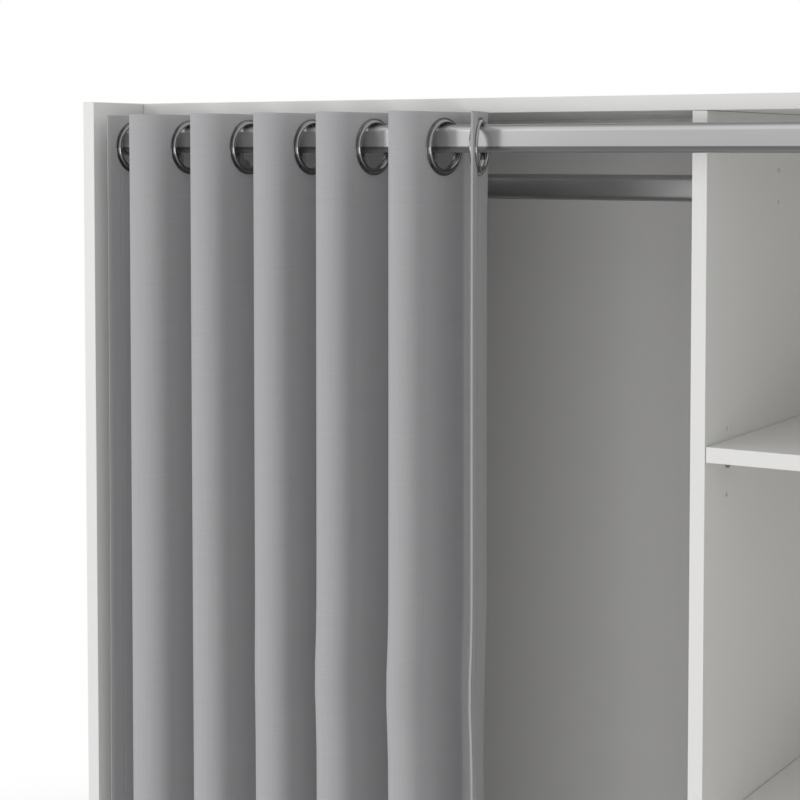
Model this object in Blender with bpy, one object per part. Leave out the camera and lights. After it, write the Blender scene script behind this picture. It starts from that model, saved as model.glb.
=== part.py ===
"""Curtain wardrobe: a white two-bay wardrobe whose front is closed by one eyelet curtain.

Metres, +Z up, the front towards -Y. The origin is on the floor, in the middle of the
overall box, which reaches from the curtain's foremost folds to the side panels' rear edges.
"""

import math

import bmesh
import bpy
from mathutils import Matrix, Vector

MM = 0.001

# Carcass
wardrobe_width = 1120 * MM
wardrobe_depth = 500 * MM
wardrobe_height = 2030 * MM
board_thickness = 15 * MM
hanging_bay_width = 660 * MM
front_recess = 84 * MM  # the side panels stand this far proud of the boards between them
edge_round = 0.6 * MM  # the banded edges are slightly rounded
fit_gap = 0.3 * MM  # between pieces that touch or seat in each other
overrun = 2 * MM  # how far a cutter passes the face that it cuts

# Back
back_sheet_thickness = 3 * MM
back_inset = 10 * MM  # from the side panels' rear edges to the sheets
back_groove_depth = 6 * MM
strip_width = 26 * MM
strip_wall = 1 * MM
back_top_margin = 2 * MM

# Plinth and glides
glide_height = 5 * MM
glide_width = 12 * MM
glide_length = 46 * MM
glide_inset = 42 * MM  # from a side panel's front or rear edge to the glide's middle
glide_round = 1.2 * MM
glide_peg_radius = 2.4 * MM
glide_peg_length = 9 * MM
plinth_height = 70 * MM
plinth_setback = 16 * MM

# Shelves and their supports
SHELF_COUNT = 4
first_shelf_drop = 331.5 * MM  # wardrobe top to the first shelf's upper face
shelf_pitch = 368 * MM
shelf_setback = 1 * MM
shelf_side_gap = 0.6 * MM
pin_hole_radius = 2.5 * MM
pin_hole_depth = 9 * MM
pin_hole_pitch = 32 * MM
front_column_inset = 55.5 * MM  # from the partition's front edge
rear_column_inset = 55.5 * MM  # from the partition's rear edge
support_pin_drop = 6 * MM  # shelf underside to pin centre
support_width = 12 * MM
support_reach = 9 * MM
support_plate = 1.6 * MM
support_web = 2 * MM
support_pin_length = 8 * MM

# Oval tube, used for the curtain rod and the hanging rail
tube_height = 28 * MM
tube_width = 14 * MM
tube_wall = 1.2 * MM

# Hanging rail
rail_setback = 188.5 * MM  # partition's front edge to the rail's middle
rail_drop = 92 * MM  # wardrobe top to the rail's middle
rail_screw_drop = 88.5 * MM  # wardrobe top to the middle of the bracket's two pins
bracket_wall = 2.4 * MM
bracket_depth = 12 * MM
bracket_base = 3 * MM
bracket_margin = 9 * MM  # base plate beyond the pin centres
bracket_pin_length = 8 * MM

# Curtain rod and its sockets
rod_setback = 42 * MM  # side panels' front edges to the rod's middle
rod_drop = 41 * MM  # wardrobe top to the rod's middle
socket_depth = 10 * MM
socket_floor = 1.5 * MM
socket_flange = 3 * MM
socket_lip = 2 * MM  # the flange beyond the collar
socket_wall = 2 * MM
socket_round = 0.8 * MM
socket_peg_radius = 3 * MM
socket_peg_length = 8 * MM

# Eyelets
EYELET_COUNT = 12
eyelet_radius = 29 * MM
eyelet_hole_radius = 22 * MM
eyelet_half_height = 4.5 * MM
eyelet_barrel_wall = 2.8 * MM
first_eyelet_gap = 12.6 * MM  # socket face to the first eyelet's centre
gathered_width = 431.9 * MM  # first to last eyelet, with the curtain drawn aside

# Curtain
cloth_thickness = 0.8 * MM
curtain_top_drop = 13.3 * MM  # wardrobe top to the cloth's upper edge
hem_clearance = 28 * MM  # floor to the hem
cloth_edge_margin = 36 * MM  # outermost eyelet's centre to the cloth's side edge
front_fold_depth = 62 * MM  # rod's middle to the foremost point of a fold
front_tip_radius = 19 * MM
back_tip_radius = 9.8 * MM
back_fold_clearance = 1 * MM  # rear folds to the top board's front edge
cloth_cutter_reach = 5 * MM
FLANK_ANGLE = math.radians(83.6)  # the cloth crosses the rod at this angle
LAST_FLANK_ANGLE = math.radians(74)

# How far along the gathered width each eyelet hangs
eyelet_place_shares = (0, 0.087, 0.174, 0.277, 0.354, 0.464, 0.541, 0.642, 0.716, 0.84, 0.906, 1)

# Rim of an eyelet from its hole outwards: share of the rim's width, share of its half height
eyelet_rim_shares = ((0, 0.66), (0.24, 1), (0.8, 0.84), (1, 0.36))

# Segment counts
HOLE_STEPS = 10
EYELET_STEPS = 16
TUBE_STEPS = 8
TIP_STEPS = 5
SOCKET_STEPS = 32
PEG_STEPS = 16

# Places worked out from the sizes above
cloth_half = cloth_thickness / 2
front_overhang = max(0, front_fold_depth + cloth_half - rod_setback)
panel_front = -(wardrobe_depth - front_overhang) / 2
panel_rear = panel_front + wardrobe_depth
board_front = panel_front + front_recess
back_face = panel_rear - back_inset - back_sheet_thickness
strip_front = back_face - fit_gap - strip_wall
board_rear = back_face - fit_gap
partition_rear = strip_front - fit_gap
left_outer = -wardrobe_width / 2
left_inner = left_outer + board_thickness
right_outer = wardrobe_width / 2
right_inner = right_outer - board_thickness
partition_left = left_inner + hanging_bay_width
partition_right = partition_left + board_thickness
partition_middle = (partition_left + partition_right) / 2
top_underside = wardrobe_height - board_thickness
bottom_top = plinth_height + board_thickness
rod_y = panel_front + rod_setback
rod_z = wardrobe_height - rod_drop
rail_y = board_front + rail_setback
rail_z = wardrobe_height - rail_drop
rail_screw_z = wardrobe_height - rail_screw_drop
back_fold_depth = front_recess - rod_setback - back_fold_clearance - cloth_half
eyelet_z = rod_z + tube_height / 2 + fit_gap - eyelet_hole_radius
curtain_top = wardrobe_height - curtain_top_drop
pin_radius = pin_hole_radius - fit_gap
column_places = (board_front + front_column_inset, partition_rear - rear_column_inset)


def clear_scene():
    for obj in list(bpy.data.objects):
        bpy.data.objects.remove(obj, do_unlink=True)


def material(name, colour, roughness, metallic=0.0):
    """A Principled material in linear colour."""
    made = bpy.data.materials.new(name)
    made.use_nodes = True
    shader = made.node_tree.nodes["Principled BSDF"]
    shader.inputs["Base Color"].default_value = (*colour, 1.0)
    shader.inputs["Roughness"].default_value = roughness
    shader.inputs["Metallic"].default_value = metallic
    return made


def link(obj, parent=None):
    bpy.context.scene.collection.objects.link(obj)
    if parent is not None:
        obj.parent = parent
    return obj


def empty(name, location):
    made = bpy.data.objects.new(name, None)
    made.location = location
    return link(made)


def object_from(name, mesh, finish, location=(0, 0, 0), smooth=False):
    """A named object that carries a mesh, with its material and, if asked, smooth rounds."""
    obj = bpy.data.objects.new(name, mesh)
    obj.location = location
    if not mesh.materials:
        mesh.materials.append(finish)
    if smooth:
        mesh.shade_smooth()
        mesh.set_sharp_from_angle(angle=math.radians(40))
    return link(obj)


def mesh_from(name, builder):
    """A mesh filled by builder(bm), with its faces pointing out."""
    bm = bmesh.new()
    builder(bm)
    bmesh.ops.recalc_face_normals(bm, faces=bm.faces)
    mesh = bpy.data.meshes.new(name)
    bm.to_mesh(mesh)
    bm.free()
    return mesh


def add_box(bm, low, high):
    """A box between two corners, added to a bmesh."""
    size = Vector(high) - Vector(low)
    middle = (Vector(high) + Vector(low)) / 2
    placed = Matrix.Translation(middle) @ Matrix.Diagonal((*size, 1))
    bmesh.ops.create_cube(bm, size=1, matrix=placed)


def add_cylinder(bm, centre, axis, radius, length, steps):
    """A closed cylinder whose middle is at centre, along axis."""
    turn = Vector(axis).to_track_quat("Z", "Y").to_matrix().to_4x4()
    bmesh.ops.create_cone(bm, cap_ends=True, segments=steps, radius1=radius, radius2=radius,
                          depth=length, matrix=Matrix.Translation(centre) @ turn)


def board(name, low, high, finish):
    """A board between two corners, placed by its middle, with lightly rounded edges."""
    middle = (Vector(low) + Vector(high)) / 2
    mesh = mesh_from(name, lambda bm: add_box(bm, Vector(low) - middle, Vector(high) - middle))
    obj = object_from(name, mesh, finish, middle)
    bevel = obj.modifiers.new("edge_round", "BEVEL")
    bevel.width = edge_round
    bevel.segments = 2
    bevel.limit_method = "ANGLE"
    return obj


def boolean(obj, builder, operation="DIFFERENCE"):
    """Cuts from obj, or joins to it, the solids that builder(bm) makes in world space."""
    tool = bpy.data.objects.new(obj.name + "_tool", mesh_from(obj.name + "_tool", builder))
    link(tool)
    tool.hide_render = True
    tool.hide_viewport = False
    tool.display_type = "WIRE"
    step = obj.modifiers.new(operation.lower(), "BOOLEAN")
    step.operation = operation
    step.solver = "EXACT"
    step.object = tool
    return tool


def finished_mesh(obj, name):
    """The mesh of obj with its modifiers applied, for pieces that are made several times."""
    graph = bpy.context.evaluated_depsgraph_get()
    return bpy.data.meshes.new_from_object(obj.evaluated_get(graph), depsgraph=graph)


def remove_with_tools(obj, tools):
    for one in (obj, *tools):
        bpy.data.objects.remove(one, do_unlink=True)


def stadium(height, width, steps):
    """Outline of an oval tube in its own plane: straight sides, half-round top and bottom."""
    radius = width / 2
    straight = height / 2 - radius
    points = []
    for side, start in ((1, 0), (-1, math.pi)):
        for step in range(steps + 1):
            angle = start + math.pi * step / steps
            points.append((radius * math.cos(angle), side * straight + radius * math.sin(angle)))
    return points


def add_prism(bm, outline, x_low, x_high, y, z):
    """An outline in the YZ plane carried along X as a closed solid."""
    ends = [[bm.verts.new((x, y + a, z + b)) for a, b in outline] for x in (x_low, x_high)]
    count = len(outline)
    for i in range(count):
        j = (i + 1) % count
        bm.faces.new((ends[0][i], ends[0][j], ends[1][j], ends[1][i]))
    bm.faces.new(ends[0])
    bm.faces.new(ends[1])


def add_tube(bm, outer, inner, x_low, x_high, y, z):
    """A hollow tube along X, open at both ends, between two outlines of equal point count."""
    rings = [[bm.verts.new((x, y + a, z + b)) for a, b in outline]
             for x, outline in ((x_low, outer), (x_high, outer), (x_high, inner), (x_low, inner))]
    count = len(outer)
    for k in range(4):
        here, there = rings[k], rings[(k + 1) % 4]
        for i in range(count):
            j = (i + 1) % count
            bm.faces.new((here[i], here[j], there[j], there[i]))


def add_lathe(bm, profile, steps, placed):
    """A closed profile of (radius, height) turned once about Z, then put in place."""
    rings = []
    for step in range(steps):
        angle = 2 * math.pi * step / steps
        rings.append([bm.verts.new(placed @ Vector((r * math.cos(angle), r * math.sin(angle), h)))
                      for r, h in profile])
    count = len(profile)
    for step in range(steps):
        here, there = rings[step], rings[(step + 1) % steps]
        for i in range(count):
            j = (i + 1) % count
            bm.faces.new((here[i], here[j], there[j], there[i]))


def shelf_heights():
    """Upper faces of the shelves, from the top one down."""
    first = wardrobe_height - first_shelf_drop
    return [first - shelf_pitch * k for k in range(SHELF_COUNT)]


def support_height(shelf_top):
    """Height of the pin that carries a shelf."""
    return shelf_top - board_thickness - fit_gap - support_pin_drop


def pin_hole_places():
    """Where the shelf-pin holes are: three to a support, on a front and a rear column."""
    places = []
    for top in shelf_heights():
        for y in column_places:
            for k in (-1, 0, 1):
                places.append((y, support_height(top) + k * pin_hole_pitch))
    return places


def add_blind_holes(bm, face_x, inward, places, radius, depth):
    """Cylinders that cut blind holes into a panel face at face_x; inward is +1 or -1 along X."""
    length = depth + overrun
    for y, z in places:
        centre = (face_x + inward * (depth - overrun) / 2, y, z)
        add_cylinder(bm, centre, (1, 0, 0), radius, length, HOLE_STEPS)


def add_glide_holes(bm, x):
    """Cylinders for the glide pegs in a side panel's lower edge."""
    length = glide_peg_length + fit_gap + overrun
    for y in glide_places():
        centre = (x, y, glide_height + (length - 2 * overrun) / 2)
        add_cylinder(bm, centre, (0, 0, 1), glide_peg_radius + fit_gap, length, PEG_STEPS)


def glide_places():
    return (panel_front + glide_inset, panel_rear - glide_inset)


def rail_screw_places():
    return [(rail_y, rail_screw_z + side * pin_hole_pitch / 2) for side in (1, -1)]


def side_panels(finish):
    """Both side panels, each with its back groove, rod-socket hole and glide holes."""
    groove_low = back_face - fit_gap
    groove_high = back_face + back_sheet_thickness + fit_gap
    low_z = plinth_height - fit_gap
    for side, outer, inner, inward in (("left", left_outer, left_inner, -1),
                                       ("right", right_outer, right_inner, 1)):
        low = (min(outer, inner), panel_front, glide_height)
        high = (max(outer, inner), panel_rear, wardrobe_height)
        panel = board("side_panel_" + side, low, high, finish)
        socket_hole = [(rod_y, rod_z)]
        places = rail_screw_places() if side == "left" else pin_hole_places()
        groove_x = sorted((inner - inward * overrun, inner + inward * back_groove_depth))
        middle_x = (outer + inner) / 2

        def tools(bm, inner=inner, inward=inward, places=places, xs=groove_x, x=middle_x):
            add_box(bm, (xs[0], groove_low, low_z), (xs[1], groove_high, wardrobe_height + overrun))
            add_blind_holes(bm, inner, inward, places, pin_hole_radius, pin_hole_depth)
            add_blind_holes(bm, inner, inward, socket_hole, socket_peg_radius + fit_gap,
                            socket_peg_length + fit_gap)
            add_glide_holes(bm, x)

        boolean(panel, tools)


def boards_between(finish):
    """Top and bottom boards, partition, plinth, plinth brace and shelves."""
    low_x, high_x = left_inner + fit_gap, right_inner - fit_gap
    board("top_board", (low_x, board_front, top_underside), (high_x, board_rear, wardrobe_height),
          finish)
    board("bottom_board", (low_x, board_front, plinth_height), (high_x, board_rear, bottom_top),
          finish)
    partition = board("partition", (partition_left, board_front, bottom_top + fit_gap),
                      (partition_right, partition_rear, top_underside - fit_gap), finish)

    def tools(bm):
        add_blind_holes(bm, partition_right, -1, pin_hole_places(), pin_hole_radius,
                        pin_hole_depth)
        add_blind_holes(bm, partition_right, -1, rail_screw_places(), pin_hole_radius,
                        board_thickness + overrun)

    boolean(partition, tools)
    plinth_front = board_front + plinth_setback
    plinth_top = plinth_height - fit_gap
    board("plinth_board", (low_x, plinth_front, glide_height),
          (high_x, plinth_front + board_thickness, plinth_top), finish)
    board("plinth_brace", (partition_left, plinth_front + board_thickness + fit_gap, glide_height),
          (partition_right, board_rear, plinth_top), finish)
    for k, top in enumerate(shelf_heights()):
        board(f"shelf_{k + 1}",
              (partition_right + shelf_side_gap, board_front + shelf_setback, top - board_thickness),
              (right_inner - shelf_side_gap, partition_rear - fit_gap, top), finish)


def back(finish, strip_finish):
    """Two thin sheets that slide in the side panels' grooves and meet in a joining strip."""
    top = wardrobe_height - back_top_margin
    reach = back_groove_depth - fit_gap
    web_half = strip_wall / 2
    edge = web_half + fit_gap
    rear = back_face + back_sheet_thickness
    for name, low_x, high_x in (
            ("back_sheet_left", left_inner - reach, partition_middle - edge),
            ("back_sheet_right", partition_middle + edge, right_inner + reach)):
        middle = Vector(((low_x + high_x) / 2, (back_face + rear) / 2, (plinth_height + top) / 2))
        half = Vector(((high_x - low_x) / 2, back_sheet_thickness / 2, (top - plinth_height) / 2))
        mesh = mesh_from(name, lambda bm, half=half: add_box(bm, -half, half))
        object_from(name, mesh, finish, middle)
    lip = strip_width / 2
    inner, outer = fit_gap, fit_gap + strip_wall
    y_steps = (back_face - outer, back_face - inner, rear + inner, rear + outer)
    outline = [(-lip, y_steps[0]), (lip, y_steps[0]), (lip, y_steps[1]), (web_half, y_steps[1]),
               (web_half, y_steps[2]), (lip, y_steps[2]), (lip, y_steps[3]), (-lip, y_steps[3]),
               (-lip, y_steps[2]), (-web_half, y_steps[2]), (-web_half, y_steps[1]),
               (-lip, y_steps[1])]

    def profile(bm):
        heights = (bottom_top + fit_gap, top_underside - fit_gap)
        ends = [[bm.verts.new((x, y, z)) for x, y in outline] for z in heights]
        for i in range(len(outline)):
            j = (i + 1) % len(outline)
            bm.faces.new((ends[0][i], ends[0][j], ends[1][j], ends[1][i]))
        bm.faces.new(ends[0])
        bm.faces.new(ends[1])

    object_from("back_joining_strip", mesh_from("back_joining_strip", profile), strip_finish,
                (partition_middle, 0, 0))


def shelf_supports(finish):
    """Sixteen angle supports: a tongue under the shelf, a round-ended plate and a pin."""
    half = support_width / 2

    def plate(bm):
        outline = [(-half, support_pin_drop), (half, support_pin_drop)]
        outline += [(half * math.cos(a), -half * math.sin(a))
                    for a in (math.pi * k / PEG_STEPS for k in range(PEG_STEPS + 1))]
        add_prism(bm, outline, 0, support_plate, 0, 0)

    source = object_from("support_source", mesh_from("support_plate", plate), finish)
    tongue_low = support_pin_drop - support_plate

    def tongue(bm):
        add_box(bm, (support_plate / 2, -half, tongue_low),
                (support_reach, half, support_pin_drop))

    def web(bm):
        low, reach = -support_web / 2, support_reach - support_plate
        corners = ((support_plate / 2, tongue_low + support_plate / 2),
                   (reach, tongue_low + support_plate / 2), (reach, tongue_low - support_web / 2),
                   (support_plate / 2, -half + support_plate))
        ends = [[bm.verts.new((x, y, z)) for x, z in corners] for y in (low, -low)]
        for i in range(len(corners)):
            j = (i + 1) % len(corners)
            bm.faces.new((ends[0][i], ends[0][j], ends[1][j], ends[1][i]))
        bm.faces.new(ends[0])
        bm.faces.new(ends[1])

    def pin(bm):
        length = support_pin_length + support_plate / 2
        add_cylinder(bm, (-support_pin_length + length / 2, 0, 0), (1, 0, 0), pin_radius, length,
                     HOLE_STEPS)

    tools = [boolean(source, maker, "UNION") for maker in (tongue, web, pin)]
    shared = finished_mesh(source, "shelf_support")
    remove_with_tools(source, tools)
    for k, top in enumerate(shelf_heights()):
        for column, y in zip(("front", "rear"), column_places):
            for side, x, turn in (("left", partition_right + fit_gap, 0),
                                  ("right", right_inner - fit_gap, math.pi)):
                obj = object_from(f"shelf_{k + 1}_support_{side}_{column}", shared, finish,
                                  (x, y, support_height(top)))
                obj.rotation_euler = (0, 0, turn)


def tube(name, x_low, x_high, y, z, finish):
    """An oval steel tube along X."""
    outer = stadium(tube_height, tube_width, TUBE_STEPS)
    inner = stadium(tube_height - 2 * tube_wall, tube_width - 2 * tube_wall, TUBE_STEPS)
    half = (x_high - x_low) / 2
    mesh = mesh_from(name, lambda bm: add_tube(bm, outer, inner, -half, half, 0, 0))
    return object_from(name, mesh, finish, ((x_low + x_high) / 2, y, z), smooth=True)


def rod_sockets(finish):
    """Round stepped cups on the side panels, with an oval pocket that takes the rod's end."""
    collar = tube_height / 2 + fit_gap + socket_wall
    flange = collar + socket_lip
    tip = socket_round
    profile = [(flange - tip, 0), (flange, tip), (flange, socket_flange - tip),
               (flange - tip, socket_flange), (collar, socket_flange),
               (collar, socket_depth - tip), (collar - tip, socket_depth)]
    turned = Matrix.Rotation(math.pi / 2, 4, "Y")

    def body(bm):
        rings = []
        for r, h in profile:
            rings.append([bm.verts.new(turned @ Vector((r * math.cos(a), r * math.sin(a), h)))
                          for a in (2 * math.pi * k / SOCKET_STEPS for k in range(SOCKET_STEPS))])
        for here, there in zip(rings, rings[1:]):
            for i in range(SOCKET_STEPS):
                j = (i + 1) % SOCKET_STEPS
                bm.faces.new((here[i], here[j], there[j], there[i]))
        bm.faces.new(rings[0])
        bm.faces.new(rings[-1])

    source = object_from("socket_source", mesh_from("socket_body", body), finish)
    pocket = stadium(tube_height + 2 * fit_gap, tube_width + 2 * fit_gap, TUBE_STEPS)

    def pocket_tool(bm):
        add_prism(bm, pocket, socket_floor, socket_depth + overrun, 0, 0)

    def peg(bm):
        length = socket_peg_length + socket_floor / 2
        add_cylinder(bm, (-socket_peg_length + length / 2, 0, 0), (1, 0, 0), socket_peg_radius,
                     length, PEG_STEPS)

    tools = [boolean(source, pocket_tool), boolean(source, peg, "UNION")]
    shared = finished_mesh(source, "rod_socket")
    remove_with_tools(source, tools)
    for side, x, turn in (("left", left_inner + fit_gap, 0),
                          ("right", right_inner - fit_gap, math.pi)):
        obj = object_from("rod_socket_" + side, shared, finish, (x, rod_y, rod_z), smooth=True)
        obj.rotation_euler = (0, 0, turn)


def rail_brackets(finish):
    """Oval cups for the hanging rail, each on a base plate with two pins in the panel."""
    cup = stadium(tube_height + 2 * (fit_gap + bracket_wall),
                  tube_width + 2 * (fit_gap + bracket_wall), TUBE_STEPS)
    pocket = stadium(tube_height + 2 * fit_gap, tube_width + 2 * fit_gap, TUBE_STEPS)
    base_width = tube_width + 2 * (fit_gap + bracket_wall)
    base = stadium(pin_hole_pitch + 2 * bracket_margin, base_width, TUBE_STEPS)
    offset = rail_screw_z - rail_z

    def plate(bm):
        add_prism(bm, base, 0, bracket_base, 0, offset)

    source = object_from("bracket_source", mesh_from("bracket_base", plate), finish)

    def cup_tool(bm):
        add_prism(bm, cup, bracket_base / 2, bracket_depth, 0, 0)

    def pocket_tool(bm):
        add_prism(bm, pocket, bracket_base, bracket_depth + overrun, 0, 0)

    def pins(bm):
        length = bracket_pin_length + bracket_base / 2
        for side in (1, -1):
            centre = (-bracket_pin_length + length / 2, 0, offset + side * pin_hole_pitch / 2)
            add_cylinder(bm, centre, (1, 0, 0), pin_radius, length, HOLE_STEPS)

    tools = [boolean(source, cup_tool, "UNION"), boolean(source, pocket_tool),
             boolean(source, pins, "UNION")]
    shared = finished_mesh(source, "rail_bracket")
    remove_with_tools(source, tools)
    for side, x, turn in (("left", left_inner + fit_gap, 0),
                          ("right", partition_left - fit_gap, math.pi)):
        obj = object_from("hanging_rail_bracket_" + side, shared, finish, (x, rail_y, rail_z),
                          smooth=True)
        obj.rotation_euler = (0, 0, turn)


def glides(finish):
    """Four plastic glides, each held in the side panel's lower edge by a peg."""
    size = Vector((glide_width, glide_length, glide_height - fit_gap)) / 2

    def pad(bm):
        add_box(bm, (-size.x, -size.y, 0), (size.x, size.y, 2 * size.z))
        bmesh.ops.bevel(bm, geom=[e for e in bm.edges if abs(e.verts[0].co.z - e.verts[1].co.z) > 0],
                        offset=glide_round, segments=3, profile=0.5, affect="EDGES")

    def peg(bm):
        length = glide_peg_length + size.z
        add_cylinder(bm, (0, 0, size.z + length / 2), (0, 0, 1), glide_peg_radius, length,
                     PEG_STEPS)

    source = object_from("glide_source", mesh_from("glide_pad", pad), finish)
    tools = [boolean(source, peg, "UNION")]
    shared = finished_mesh(source, "glide")
    remove_with_tools(source, tools)
    for side, x in (("left", (left_outer + left_inner) / 2), ("right", (right_outer + right_inner) / 2)):
        for end, y in zip(("front", "rear"), glide_places()):
            object_from(f"glide_{side}_{end}", shared, finish, (x, y, 0))


def eyelet_places():
    """Centre of each eyelet and the direction in which the cloth runs back through it."""
    first = left_inner + fit_gap + socket_depth + first_eyelet_gap
    last = EYELET_COUNT - 1
    places = []
    for k, share in enumerate(eyelet_place_shares):
        centre = Vector((first + share * gathered_width, rod_y, eyelet_z))
        angle = FLANK_ANGLE if k < last else math.pi - LAST_FLANK_ANGLE
        places.append((centre, Vector((math.cos(angle), math.sin(angle), 0))))
    return places


def eyelet_frame(centre, run):
    """Puts an eyelet turned about Z square to the cloth that runs along run."""
    up = Vector((0, 0, 1))
    axis = run.cross(up)
    turn = Matrix((run, up, axis)).transposed().to_4x4()
    return Matrix.Translation(centre) @ turn


def eyelets(finish, parent):
    """Pressed rings of two rolled rims on one barrel, with the cloth between the rims."""
    width = eyelet_radius - eyelet_hole_radius
    slot = cloth_half + fit_gap
    barrel = eyelet_hole_radius + eyelet_barrel_wall
    rim = [(eyelet_hole_radius + a * width, b * eyelet_half_height) for a, b in eyelet_rim_shares]
    upper = rim + [(eyelet_radius - slot, slot), (barrel, slot)]
    profile = upper + [(r, -h) for r, h in reversed(upper)]
    mesh = mesh_from("eyelet", lambda bm: add_lathe(bm, profile, EYELET_STEPS, Matrix()))
    for k, (centre, run) in enumerate(eyelet_places()):
        obj = object_from(f"eyelet_{k + 1:02d}", mesh, finish, smooth=True)
        obj.parent = parent
        obj.matrix_world = eyelet_frame(centre, run)


def fold_corners():
    """Corners of the cloth's plan before they are rounded, each with its largest radius."""
    places = eyelet_places()
    corners = [(places[0][0] - places[0][1] * cloth_edge_margin, 0)]
    for k in range(len(places) - 1):
        to_back = k % 2 == 0
        depth = back_fold_depth if to_back else -front_fold_depth
        radius = back_tip_radius if to_back else front_tip_radius
        for centre, run in (places[k], places[k + 1]):
            corners.append((centre + run * (depth / run.y), radius))
    corners.append((places[-1][0] - places[-1][1] * cloth_edge_margin, 0))
    return corners


def rounded_path(corners):
    """The cloth's plan as a line of points: straight flanks, and an arc at each corner."""
    points = [corners[0][0].xy]
    for k in range(1, len(corners) - 1):
        here = corners[k][0].xy
        to_here = (here - corners[k - 1][0].xy).normalized()
        onward = (corners[k + 1][0].xy - here).normalized()
        turn = to_here.angle_signed(onward)
        mate = k + 1 if k % 2 else k - 1  # the other corner of the same fold
        across = (corners[mate][0].xy - here).length
        beyond = corners[mate + (mate - k)][0].xy
        mate_turn = (corners[mate][0].xy - here).angle((beyond - corners[mate][0].xy))
        halves = math.tan(abs(turn) / 2) + math.tan(mate_turn / 2)
        radius = min(corners[k][1], across / halves)
        reach = radius * math.tan(abs(turn) / 2)
        start = here - to_here * reach
        side = Vector((-to_here.y, to_here.x)) * (-1 if turn > 0 else 1)
        centre = start + side * radius
        for step in range(TIP_STEPS + 1):
            angle = turn * step / TIP_STEPS
            points.append(centre + Matrix.Rotation(-angle, 2) @ (start - centre))
    points.append(corners[-1][0].xy)
    return points


def path_normals(points):
    """Unit normals along a line of points, lengthened at bends so that an offset keeps its gap."""
    normals = []
    for k, point in enumerate(points):
        before = (point - points[max(k - 1, 0)]).normalized()
        after = (points[min(k + 1, len(points) - 1)] - point).normalized()
        along = (before + after).normalized()
        normal = Vector((along.y, -along.x))
        ahead = after if after.length > 0 else before
        normals.append(normal / max(normal.dot(Vector((ahead.y, -ahead.x))), 0.5))
    return normals


def distinct(points):
    """The same line without points that fall on the one before."""
    kept = [points[0]]
    for point in points[1:]:
        if (point - kept[-1]).length > cloth_half / 4:
            kept.append(point)
    return kept


def curtain(finish, parent):
    """One cloth in deep regular folds, hung from the rod by its eyelets."""
    points = distinct(rounded_path(fold_corners()))
    normals = path_normals(points)

    def cloth(bm):
        rows = []
        for z in (hem_clearance, curtain_top):
            for side in (1, -1):
                rows.append([bm.verts.new((*(p + n * cloth_half * side), z))
                             for p, n in zip(points, normals)])
        low_a, low_b, high_a, high_b = rows
        for i in range(len(points) - 1):
            bm.faces.new((low_a[i], low_a[i + 1], high_a[i + 1], high_a[i]))
            bm.faces.new((low_b[i], low_b[i + 1], high_b[i + 1], high_b[i]))
            bm.faces.new((high_a[i], high_a[i + 1], high_b[i + 1], high_b[i]))
            bm.faces.new((low_a[i], low_a[i + 1], low_b[i + 1], low_b[i]))
        for i in (0, -1):
            bm.faces.new((low_a[i], high_a[i], high_b[i], low_b[i]))

    obj = object_from("curtain", mesh_from("curtain", cloth), finish)
    obj.parent = parent
    obj.matrix_world = Matrix()
    barrel = eyelet_hole_radius + eyelet_barrel_wall
    radius = (barrel + fit_gap) / math.cos(math.pi / EYELET_STEPS)

    def holes(bm):
        for centre, run in eyelet_places():
            add_cylinder(bm, centre, run.cross(Vector((0, 0, 1))), radius, 2 * cloth_cutter_reach,
                         EYELET_STEPS)

    boolean(obj, holes)


def build():
    clear_scene()
    white = material("white_board", (0.76, 0.755, 0.74), 0.45)
    sheet_white = material("white_back_sheet", (0.62, 0.62, 0.60), 0.6)
    steel = material("satin_steel", (0.62, 0.62, 0.63), 0.3, 1.0)
    dark_nickel = material("dark_nickel", (0.16, 0.16, 0.17), 0.18, 1.0)
    grey_plastic = material("grey_plastic", (0.32, 0.32, 0.33), 0.5)
    zinc = material("zinc_plate", (0.35, 0.35, 0.36), 0.4, 1.0)
    grey_cloth = material("grey_cloth", (0.30, 0.30, 0.315), 0.9)
    hung = empty("curtain_slide", (0, rod_y, rod_z))
    bpy.context.view_layer.update()
    side_panels(white)
    boards_between(white)
    back(sheet_white, sheet_white)
    shelf_supports(zinc)
    glides(grey_plastic)
    rail_brackets(steel)
    rail_floor = fit_gap + bracket_base + fit_gap
    tube("hanging_rail", left_inner + rail_floor, partition_left - rail_floor, rail_y, rail_z, steel)
    rod_sockets(steel)
    rod_floor = fit_gap + socket_floor + fit_gap
    tube("curtain_rod", left_inner + rod_floor, right_inner - rod_floor, rod_y, rod_z, steel)
    curtain(grey_cloth, hung)
    eyelets(dark_nickel, hung)


build()
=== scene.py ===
# %% [markdown]
# # A curtain wardrobe
#
# A white wardrobe of coated boards has no doors. One grey curtain hangs on a rod across its
# front and slides on twelve dark metal eyelets. The solids of the model come as a fixed frame,
# in metres, with the floor at z = 0 and the front towards -y. This lesson gives each of them its
# finish, and makes the round and the soft pieces again as fine surfaces.

import math

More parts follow.
